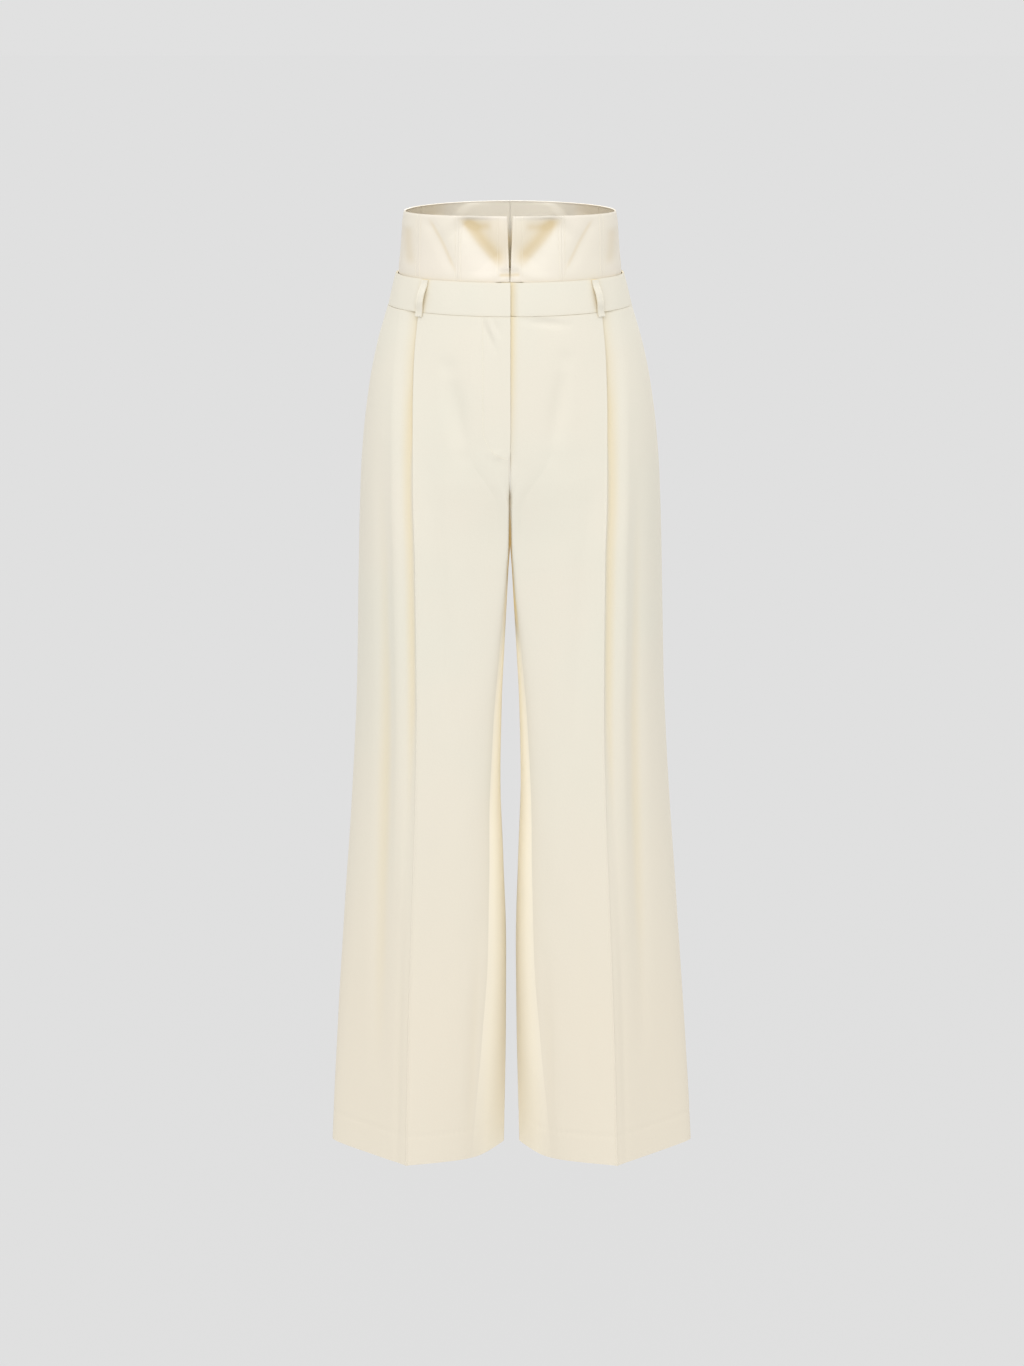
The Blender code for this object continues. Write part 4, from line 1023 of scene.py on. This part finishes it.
def corset_grid(side, first_seam, last_seam):
    """One corset panel, from its front seam to its back seam."""
    boned = [name not in ("centre_front", "centre_back") for name in (first_seam, last_seam)]
    at_front = first_seam == "centre_front"
    rows, fars, painted_shadings = [], [], []
    near = np.array(CORSET_EDGE_COLUMNS)
    full = None
    for down in np.linspace(0.0, 1.0, CORSET_ROWS):
        first = part_way(*CORSET_SEAMS[first_seam], down)
        last = part_way(*CORSET_SEAMS[last_seam], down)
        level = CORSET_TOP * (1 - down)
        angles = np.linspace(first, last, ARC_STEPS + 1)
        arc = [corset_point(level, angle, 0.0) for angle in angles]
        length = float(np.linalg.norm(np.diff(arc, axis=0), axis=1).sum())
        notch = part_way(NOTCH_TOP, NOTCH_BOTTOM, down) if at_front else 0.0
        if full is None:
            full = round(length / CORSET_COLUMN)
        middle = np.linspace(notch + near[-1], length - near[-1], full)[1:-1]
        distances = np.concatenate([notch + near, middle, (length - near)[::-1]])
        row, painted_shading_row = [], []
        for far in distances:
            angle = part_way(first, last, far / length)
            x = corset_point(level, angle, 0.0)[0]
            tuck = CORSET_TUCK
            if angle < 90:
                tuck = part_way(CORSET_TUCK_AT_FRONT, CORSET_TUCK, smooth(x, *CORSET_TUCK_RAMP))
            top = CORSET_TOP + CORSET_TOP_RISE * math.cos(math.radians(angle)) ** 2
            z = part_way(top, tuck, down)
            past_side = 2 * corset_point(level, 90.0, 0.0)[0] - x
            from_front, from_back = (x, past_side) if angle < 90 else (past_side, x)
            # golden painted shade along the satin's drag lines
            sink, painted_shading = satin_fold(CORSET_FOLDS[side], from_front, z)
            back_sink, back_gold = satin_fold(BACK_CORSET_FOLDS[side], from_back, z)
            sink, painted_shading = sink + back_sink, painted_shading + back_gold
            fade = smooth(z, 0.0, CORSET_FOLD_FADE) * smooth(top - z, 0.0, CORSET_TOP_FADE)
            sink = sink * fade + sewn_edge(top - z, *CORSET_TOP_ROLL)
            painted_shading *= smooth(top - z, *CORSET_TOP_PAINTED_SHADE)
            relief = corset_seam_relief(far - notch, length - notch, boned)
            if at_front:
                relief += notch_relief(far - notch, x)
            sink -= relief * smooth(z, 0.0, CHANNEL_FADE)
            clear = (last - first) * SEAM / 2 / length
            if far == distances[0]:
                angle += clear
            elif far == distances[-1]:
                angle -= clear
            point = corset_point(z, angle, sink)
            if last_seam == "centre_back" and far == distances[-1]:
                point[0] = SEAM / 2
            row.append((side * point[0], -point[1], z))
            painted_shading_row.append(min(painted_shading, 1.0))
        rows.append(row)
        fars.append(distances)
        painted_shadings.append(painted_shading_row)
    return np.array(rows), np.array(fars), np.array(painted_shadings)


def loop_grid(angle, gap):
    """A belt loop: a strap that lies on the waistband at both ends and stands off between them."""
    rows, fars = [], []
    shares = np.linspace(-0.5, 0.5, LOOP_COLUMNS)
    for z in np.linspace(LOOP_TOP, LOOP_BOTTOM, LOOP_ROWS):
        points, ways = waist_point(z, np.array([angle]))
        point, outwards = points[0], ways[0]
        from_end = min(LOOP_TOP - z, z - LOOP_BOTTOM)
        bow = gap * smooth(from_end, LOOP_FLAT, LOOP_FULL)
        across = np.array([outwards[1], -outwards[0]])
        puff = LOOP_PUFF - LOOP_GROOVE[0] * bump(np.abs(shares * LOOP_WIDTH) - LOOP_STITCH, LOOP_GROOVE[1])
        off = SEAM + LOOP_THICKNESS + bow + puff
        strip = point + outwards * off[:, None] + across * (LOOP_WIDTH * shares)[:, None]
        rows.append(np.column_stack([strip[:, 0], -strip[:, 1], np.full(len(strip), z)]))
        fars.append(shares * LOOP_WIDTH)
    return np.array(rows), np.array(fars), np.zeros((LOOP_ROWS, LOOP_COLUMNS))


def normals_of(points):
    """The way that each point of a grid faces."""
    normals = np.cross(np.gradient(points, axis=1), np.gradient(points, axis=0))
    return normals / np.maximum(np.linalg.norm(normals, axis=2), 1e-12)[:, :, None]


def facing_out(grid, centre_x):
    """The grid with its columns in the order that makes its faces look away from a line at centre_x."""
    points, fars, painted_shadings = grid
    away = points - np.array([centre_x, 0.0, 0.0])
    away[:, :, 2] = 0.0
    if (normals_of(points) * away).sum() < 0:
        return points[:, ::-1].copy(), fars[:, ::-1].copy(), painted_shadings[:, ::-1].copy()
    return grid


def inside_painted_shading(points, slot):
    """The painted light and shade of the inner side of the cloth at these points: golden painted shade above
    zero, pale painted light below.
    """
    if slot == "crepe":
        return np.full(len(points), INSIDE_CREPE_PAINTED_SHADE)
    sideways = smooth(np.abs(points[:, 0]), *INSIDE_SATIN_SIDES)
    low = smooth(points[:, 2], *INSIDE_SATIN_LOW)
    return INSIDE_SATIN_PAINTED_LIGHT + INSIDE_SATIN_SIDE_PAINTED_SHADE * sideways + INSIDE_SATIN_LOW_PAINTED_SHADE * low


def cloth(name, grid, thickness, material, slot):
    """A sheet through a grid of points with a thickness inwards, its own UV in metres along the cloth, and
    its painted light and shade as an attribute: golden painted shade above zero, pale painted light below."""
    points, fars, painted_shadings = grid
    rows, columns = points.shape[:2]
    bpy.ops.mesh.primitive_grid_add(x_subdivisions=columns - 1, y_subdivisions=rows - 1, size=1.0)
    piece = bpy.context.object
    piece.name = name
    piece.data.name = name
    mesh = piece.data
    mesh.vertices.foreach_set("co", points.reshape(-1))
    corner = np.empty(len(mesh.loops), np.int32)
    mesh.loops.foreach_get("vertex_index", corner)
    places = np.column_stack([fars.reshape(-1), points[:, :, 2].reshape(-1)])[corner]
    mesh.uv_layers.active.data.foreach_set("uv", places.reshape(-1))
    mesh.update()
    wall = piece.modifiers.new("wall", "SOLIDIFY")
    wall.thickness = thickness
    wall.offset = -1.0
    bpy.ops.object.modifier_apply(modifier=wall.name)
    # painted light and shade for both sides of the wall: golden painted shade above zero, pale painted light
    # below
    painted_shading = mesh.attributes.new("painted_shading", "FLOAT", "POINT")
    inner = inside_painted_shading(points.reshape(-1, 3), slot)
    painted_shading.data.foreach_set("value", np.concatenate([painted_shadings.reshape(-1), inner]))
    mesh.shade_smooth()
    mesh.set_sharp_from_angle(angle=math.radians(SHARP_EDGE))
    mesh.materials.append(material)
    piece.select_set(False)
    return piece


def read_at(at, far, values):
    """The three columns of values at a distance along them."""
    return np.array([np.interp(at, far, values[:, i]) for i in range(3)])


def thread_along(path, ways):
    """Stitches of thread along a path of points, each lying on the cloth, as points and faces."""
    steps = np.linalg.norm(np.diff(path, axis=0), axis=1)
    far = np.concatenate([[0.0], np.cumsum(steps)])
    points, faces = [], []
    start = STITCH_GAP
    while start + STITCH < far[-1]:
        base = len(points)
        for share, radius, lift in STITCH_PROFILE:
            at = start + STITCH * share
            forward = read_at(at + STITCH_GAP, far, path) - read_at(at - STITCH_GAP, far, path)
            forward /= np.linalg.norm(forward)
            up = read_at(at, far, ways)
            up -= forward * (up @ forward)
            up /= np.linalg.norm(up)
            aside = np.cross(forward, up)
            middle = read_at(at, far, path) + up * THREAD * (lift + STITCH_LIFT)
            for k in range(STITCH_SIDES):
                turned = 2 * math.pi * k / STITCH_SIDES
                points.append(middle + THREAD * radius * (up * math.cos(turned) + aside * math.sin(turned)))
        last = len(STITCH_PROFILE) - 1
        for ring_at in range(last):
            for k in range(STITCH_SIDES):
                a = base + ring_at * STITCH_SIDES + k
                b = base + ring_at * STITCH_SIDES + (k + 1) % STITCH_SIDES
                faces.append((a, b, b + STITCH_SIDES, a + STITCH_SIDES))
        faces.append(tuple(base + k for k in reversed(range(STITCH_SIDES))))
        faces.append(tuple(base + last * STITCH_SIDES + k for k in range(STITCH_SIDES)))
        start += STITCH + STITCH_GAP
    return points, faces


def sewing(name, lines, material):
    """All the stitches of some lines as one piece."""
    points, faces = [], []
    for path, ways in lines:
        more_points, more_faces = thread_along(path, ways)
        faces += [tuple(i + len(points) for i in face) for face in more_faces]
        points += more_points
    mesh = bpy.data.meshes.new(name)
    mesh.from_pydata([tuple(p) for p in points], [], faces)
    mesh.update()
    mesh.shade_smooth()
    mesh.materials.append(material)
    piece = bpy.data.objects.new(name, mesh)
    bpy.context.scene.collection.objects.link(piece)
    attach(piece, "root")
    return piece


def line_down(grid, distances):
    """A line down a grid, at a distance across it for each row: places and the way outwards."""
    points, fars, _ = grid
    normals = normals_of(points)
    path, ways = [], []
    for row, far, normal, distance in zip(points, fars, normals, distances):
        order = np.argsort(far)
        path.append(read_at(distance, far[order], row[order]))
        ways.append(read_at(distance, far[order], normal[order]))
    return np.array(path), np.array(ways)


def line_on_front(grid, line, side, last_column):
    """A line of x and z on the inner part of a front panel: places and the way outwards."""
    points = grid[0]
    normals = normals_of(points)
    heights = points[:, :, 2].mean(axis=1)
    path, ways = [], []
    for x, z in line:
        i = int(np.clip(np.searchsorted(-heights, -z) - 1, 0, len(heights) - 2))
        share = (heights[i] - z) / (heights[i] - heights[i + 1])
        places, outwards = [], []
        for row, normal in ((points[i], normals[i]), (points[i + 1], normals[i + 1])):
            columns = np.argsort(side * row[:, 0])[:last_column]
            across = side * row[columns, 0]
            places.append(read_at(x, across, row[columns]))
            outwards.append(read_at(x, across, normal[columns]))
        path.append(part_way(*places, share))
        ways.append(part_way(*outwards, share))
    return np.array(path), np.array(ways)


def new_material(name):
    material = bpy.data.materials.new(name)
    material.use_nodes = True
    return material, material.node_tree, material.node_tree.nodes["Principled BSDF"]


def add_node(tree, kind, inputs=None, **settings):
    made = tree.nodes.new(kind)
    for key, value in settings.items():
        setattr(made, key, value)
    for key, value in (inputs or {}).items():
        if isinstance(value, bpy.types.NodeSocket):
            tree.links.new(value, made.inputs[key])
        else:
            made.inputs[key].default_value = value
    return made


def colour_mix(tree, factor, first, second, blend="MIX"):
    """The colour socket of a mix of two colours."""
    mix = add_node(tree, "ShaderNodeMix", data_type="RGBA", blend_type=blend)
    for socket, value in ((mix.inputs[0], factor), (mix.inputs[6], first), (mix.inputs[7], second)):
        if isinstance(value, bpy.types.NodeSocket):
            tree.links.new(value, socket)
        else:
            socket.default_value = value
    return mix.outputs[2]


def remapped(tree, value, low, high, to_low=0.0, to_high=1.0):
    ranges = {"Value": value, "From Min": low, "From Max": high, "To Min": to_low, "To Max": to_high}
    return add_node(tree, "ShaderNodeMapRange", ranges).outputs["Result"]


def two_tones(tree, position, scale, tones):
    """Two tones of a cloth in soft patches."""
    patches = add_node(tree, "ShaderNodeTexNoise", {"Vector": position, "Scale": scale, "Detail": 2.0})
    return colour_mix(tree, remapped(tree, patches.outputs["Fac"], 0.38, 0.62), *tones)


def set_relief(tree, shader, height, strength, distance):
    """Fine relief of a cloth's threads."""
    settings = {"Height": height, "Strength": strength, "Distance": distance}
    relief = add_node(tree, "ShaderNodeBump", settings)
    tree.links.new(relief.outputs["Normal"], shader.inputs["Normal"])


def fine_noise(tree, uv, stretch, settings):
    """Noise that is stretched along one way of the cloth."""
    stretched = add_node(tree, "ShaderNodeMapping", {"Vector": uv, "Scale": stretch})
    noise = add_node(tree, "ShaderNodeTexNoise", {"Vector": stretched.outputs["Vector"], **settings})
    return noise.outputs["Fac"]


def crepe_material():
    """Matte ivory crepe: fine uneven grain and faint tone changes, with painted golden shade in its hollows,
    painted pale light between the legs, and a painted glow where it is pale or deep golden.
    """
    material, tree, shader = new_material("crepe")
    place = add_node(tree, "ShaderNodeTexCoord")
    uv, position = place.outputs["UV"], place.outputs["Object"]
    upper = two_tones(tree, position, 7.0, CREPE_TONES)
    height = add_node(tree, "ShaderNodeSeparateXYZ", {"Vector": position}).outputs["Z"]
    base = colour_mix(tree, remapped(tree, height, *CREPE_LOW_STARTS), upper, CREPE_LOW)
    # painted light and shade: pale painted light below zero, golden painted shade above, deep painted shade
    # past half, with a painted glow in the pale and the deep places
    painted_shading = add_node(tree, "ShaderNodeAttribute", attribute_name="painted_shading").outputs["Fac"]
    light_painted_shade = remapped(tree, painted_shading, 0.0, 0.5)
    deep_painted_shade = remapped(tree, painted_shading, 0.5, 1.0)
    pale_painted_light = remapped(tree, painted_shading, -1.0, 0.0, 1.0, 0.0)
    colour_with_painted_shading = colour_mix(tree, pale_painted_light, base, CREPE_PAINTED_LIGHT)
    colour_with_painted_shading = colour_mix(tree, light_painted_shade, colour_with_painted_shading, CREPE_PAINTED_SHADE)
    colour_with_painted_shading = colour_mix(tree, deep_painted_shade, colour_with_painted_shading, CREPE_DEEP_PAINTED_SHADE)
    # a painted glow where the cloth is painted pale or deep golden
    painted_glow_colour = colour_mix(tree, deep_painted_shade, PAINTED_PALE_GLOW_COLOUR, PAINTED_GOLD_GLOW_COLOUR)
    tree.links.new(painted_glow_colour, shader.inputs["Emission Color"])
    painted_pale_glow_strength = remapped(tree, pale_painted_light, 0.0, 1.0, 0.0, PAINTED_PALE_GLOW)
    painted_gold_glow_strength = remapped(tree, deep_painted_shade, 0.0, 1.0, 0.0, PAINTED_GOLD_GLOW)
    light = add_node(tree, "ShaderNodeMath", {0: painted_pale_glow_strength, 1: painted_gold_glow_strength}, operation="ADD")
    tree.links.new(light.outputs[0], shader.inputs["Emission Strength"])
    grain = fine_noise(tree, uv, (1.0, 0.45, 1.0), {"Scale": 1500.0, "Detail": 3.0, "Roughness": 0.65})
    speckle = remapped(tree, grain, 0.3, 0.7, 0.965, 1.02)
    speckled = add_node(tree, "ShaderNodeCombineColor", {"Red": speckle, "Green": speckle, "Blue": speckle})
    coloured = colour_mix(tree, 1.0, colour_with_painted_shading, speckled.outputs["Color"], "MULTIPLY")
    tree.links.new(coloured, shader.inputs["Base Color"])
    slubs = add_node(tree, "ShaderNodeTexNoise", {"Vector": uv, "Scale": 260.0, "Detail": 2.0})
    weave = add_node(tree, "ShaderNodeMath", {0: grain, 1: slubs.outputs["Fac"]}, operation="ADD")
    set_relief(tree, shader, weave.outputs[0], 0.35, 0.00025)
    shader.inputs["Roughness"].default_value = 0.82
    shader.inputs["Specular IOR Level"].default_value = 0.25
    shader.inputs["Sheen Weight"].default_value = 0.12
    shader.inputs["Sheen Roughness"].default_value = 0.5
    shader.inputs["Sheen Tint"].default_value = (1.0, 0.97, 0.90, 1.0)
    return material


def satin_material():
    """Ivory satin: smooth, with a soft gloss and fine crosswise yarns, painted golden shade in its hollows,
    darker painted shade low inside, and painted pale light inside.
    """
    material, tree, shader = new_material("satin")
    place = add_node(tree, "ShaderNodeTexCoord")
    uv, position = place.outputs["UV"], place.outputs["Object"]
    base = two_tones(tree, position, 14.0, SATIN_TONES)
    # painted light and shade: pale painted light below zero, golden painted shade up to one, darker painted
    # shade past it
    painted_shading = add_node(tree, "ShaderNodeAttribute", attribute_name="painted_shading").outputs["Fac"]
    golden_painted_shade = remapped(tree, painted_shading, 0.0, 1.0)
    shaded = remapped(tree, painted_shading, 1.0, 2.0)
    pale_painted_light = remapped(tree, painted_shading, -1.0, 0.0, 1.0, 0.0)
    colour_with_painted_shading = colour_mix(tree, pale_painted_light, base, SATIN_PAINTED_LIGHT)
    colour_with_painted_shading = colour_mix(tree, golden_painted_shade, colour_with_painted_shading, SATIN_PAINTED_SHADE)
    colour_with_painted_shading = colour_mix(tree, shaded, colour_with_painted_shading, SATIN_SHADE)
    tree.links.new(colour_with_painted_shading, shader.inputs["Base Color"])
    yarns = fine_noise(tree, uv, (0.15, 1.0, 1.0), {"Scale": 2600.0, "Detail": 2.0, "Roughness": 0.6})
    waves = add_node(tree, "ShaderNodeTexNoise", {"Vector": uv, "Scale": 90.0, "Detail": 3.0})
    soft = remapped(tree, waves.outputs["Fac"], 0.0, 1.0, 0.0, 2.2)
    height = add_node(tree, "ShaderNodeMath", {0: yarns, 1: soft}, operation="ADD")
    set_relief(tree, shader, height.outputs[0], 0.30, 0.00018)
    shader.inputs["Roughness"].default_value = 0.38
    shader.inputs["Specular IOR Level"].default_value = 0.5
    shader.inputs["Anisotropic"].default_value = 0.4
    shader.inputs["Sheen Weight"].default_value = 0.15
    shader.inputs["Sheen Roughness"].default_value = 0.35
    shader.inputs["Sheen Tint"].default_value = (1.0, 0.95, 0.86, 1.0)
    return material


def thread_material():
    """Ivory thread, twisted, with a slight gloss."""
    material, tree, shader = new_material("thread")
    place = add_node(tree, "ShaderNodeTexCoord")
    twist = add_node(tree, "ShaderNodeTexNoise", {"Vector": place.outputs["Object"], "Scale": 2200.0})
    tone = remapped(tree, twist.outputs["Fac"], 0.3, 0.7)
    colour = colour_mix(tree, tone, *THREAD_TONES)
    tree.links.new(colour, shader.inputs["Base Color"])
    shader.inputs["Roughness"].default_value = 0.55
    return material


# Camera: the photograph's view, half a metre above the waist and looking down at the garment's middle.
CAMERA_AT = (0.0025, -4.0, 0.508)
CAMERA_AIM = (0.0025, 0.0, -0.527)
CAMERA_LENS = 85.0
CAMERA_SENSOR = 36.0


def set_camera():
    data = bpy.data.cameras.new("camera")
    data.lens = CAMERA_LENS
    data.sensor_width = CAMERA_SENSOR
    data.clip_end = 100.0
    camera = bpy.data.objects.new("camera", data)
    camera.location = CAMERA_AT
    drop = CAMERA_AIM[2] - CAMERA_AT[2]
    reach = CAMERA_AIM[1] - CAMERA_AT[1]
    camera.rotation_euler = (math.pi / 2 + math.atan2(drop, reach), 0.0, 0.0)
    bpy.context.scene.collection.objects.link(camera)
    bpy.context.scene.camera = camera


# Studio: pale surroundings that are brighter overhead, a soft light from the front and a weaker one from
# behind, and a pale floor below the hem.
BACKDROP = 0.752
FLOOR_LIT = 0.08  # how much of the floor's brightness comes from the lights
OVERHEAD = 1.28
OVERHEAD_FROM = 0.15  # sine of the height in the sky where it starts to brighten, and where it is brightest
OVERHEAD_FULL = 0.75
LIGHT_ANGLE = 50.0
# Each light's name, strength, tilt from straight down and turn round from the front, in degrees.
LIGHTS = (
    ("key", 1.13, 62.0, -3.0),
    ("rear", 0.75, 55.0, 170.0),
)
FLOOR_BELOW_HEM = 0.42
FLOOR_SIZE = 60.0


def set_studio():
    world = bpy.data.worlds.new("studio")
    world.use_nodes = True
    tree = world.node_tree
    surroundings = tree.nodes["Background"]
    surroundings.inputs["Color"].default_value = (1.0, 1.0, 1.0, 1.0)
    direction = add_node(tree, "ShaderNodeTexCoord").outputs["Generated"]
    height = add_node(tree, "ShaderNodeSeparateXYZ", {"Vector": direction}).outputs["Z"]
    brightness = remapped(tree, height, OVERHEAD_FROM, OVERHEAD_FULL, BACKDROP, OVERHEAD)
    tree.links.new(brightness, surroundings.inputs["Strength"])
    bpy.context.scene.world = world
    for name, strength, tilt, turned in LIGHTS:
        lamp = bpy.data.lights.new(name, "SUN")
        lamp.energy = strength
        lamp.angle = math.radians(LIGHT_ANGLE)
        light = bpy.data.objects.new(name, lamp)
        light.rotation_euler = (math.radians(tilt), 0.0, math.radians(turned))
        bpy.context.scene.collection.objects.link(light)
    bpy.ops.mesh.primitive_plane_add(size=FLOOR_SIZE, location=(0.0, 0.0, HEM - FLOOR_BELOW_HEM))
    floor = bpy.context.object
    floor.name = "floor"
    material, tree, shader = new_material("floor")
    shader.inputs["Base Color"].default_value = (0.05, 0.05, 0.05, 1.0)
    shader.inputs["Roughness"].default_value = 1.0
    shader.inputs["Specular IOR Level"].default_value = 0.0
    shader.inputs["Emission Color"].default_value = (1.0, 1.0, 1.0, 1.0)
    shader.inputs["Emission Strength"].default_value = BACKDROP - FLOOR_LIT
    floor.data.materials.append(material)
    floor.select_set(False)
    bpy.context.scene.view_settings.view_transform = "Standard"


def dress(node, grid, thickness, material, slot):
    """The cloth that takes the place of a node."""
    piece = cloth(f"{node}_cloth", grid, thickness, material, slot)
    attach(piece, "root")
    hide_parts(node)
    return piece


def make_trousers():
    crepe, satin, thread = crepe_material(), satin_material(), thread_material()
    crepe_lines, satin_lines = [], []
    for side, name in ((1, "left"), (-1, "right")):
        front = facing_out(front_grid(side), side * LEG_MIDDLE)
        back = facing_out(back_grid(side), side * LEG_MIDDLE)
        waist = facing_out(waistband_grid(side), 0.0)
        dress(f"front_{name}", front, CREPE_THICKNESS, crepe, "crepe")
        dress(f"back_{name}", back, CREPE_THICKNESS, crepe, "crepe")
        dress(f"waistband_{name}", waist, BAND_THICKNESS, crepe, "crepe")
        if side < 0:
            crepe_lines.append(line_on_front(front, fly_stitch_line(), side, sum(FRONT_COLUMNS[:2])))
        for panel, first_seam, last_seam in CORSET_PANELS:
            grid = facing_out(corset_grid(side, first_seam, last_seam), 0.0)
            dress(f"{panel}_{name}", grid, SATIN_THICKNESS, satin, "satin")
            satin_lines += corset_stitches(grid, first_seam, last_seam)
    for name, angle, gap in LOOPS:
        grid = facing_out(loop_grid(angle, gap), 0.0)
        dress(name, grid, LOOP_THICKNESS, crepe, "crepe")
        for across in (-LOOP_STITCH, LOOP_STITCH):
            crepe_lines.append(line_down(grid, [across] * LOOP_ROWS))
    sewing("crepe_stitches", crepe_lines, thread)
    sewing("satin_stitches", satin_lines, thread)


def corset_stitches(grid, first_seam, last_seam):
    """The lines of stitches beside the boning channels, and along the facing at the centre front."""
    fars = grid[1]
    starts, ends = fars.min(axis=1), fars.max(axis=1)
    beside = CHANNEL + CHANNEL_SLOPE / 2
    lines = []
    if first_seam == "centre_front":
        lines.append(line_down(grid, np.full(len(fars), FACING_STITCH)))
    else:
        lines.append(line_down(grid, starts + beside))
    if last_seam != "centre_back":
        lines.append(line_down(grid, ends - beside))
    above = grid[0][:, :, 2].mean(axis=1) > SATIN_STITCHES_ABOVE
    return [(path[above], ways[above]) for path, ways in lines]


set_camera()
set_studio()
make_trousers()
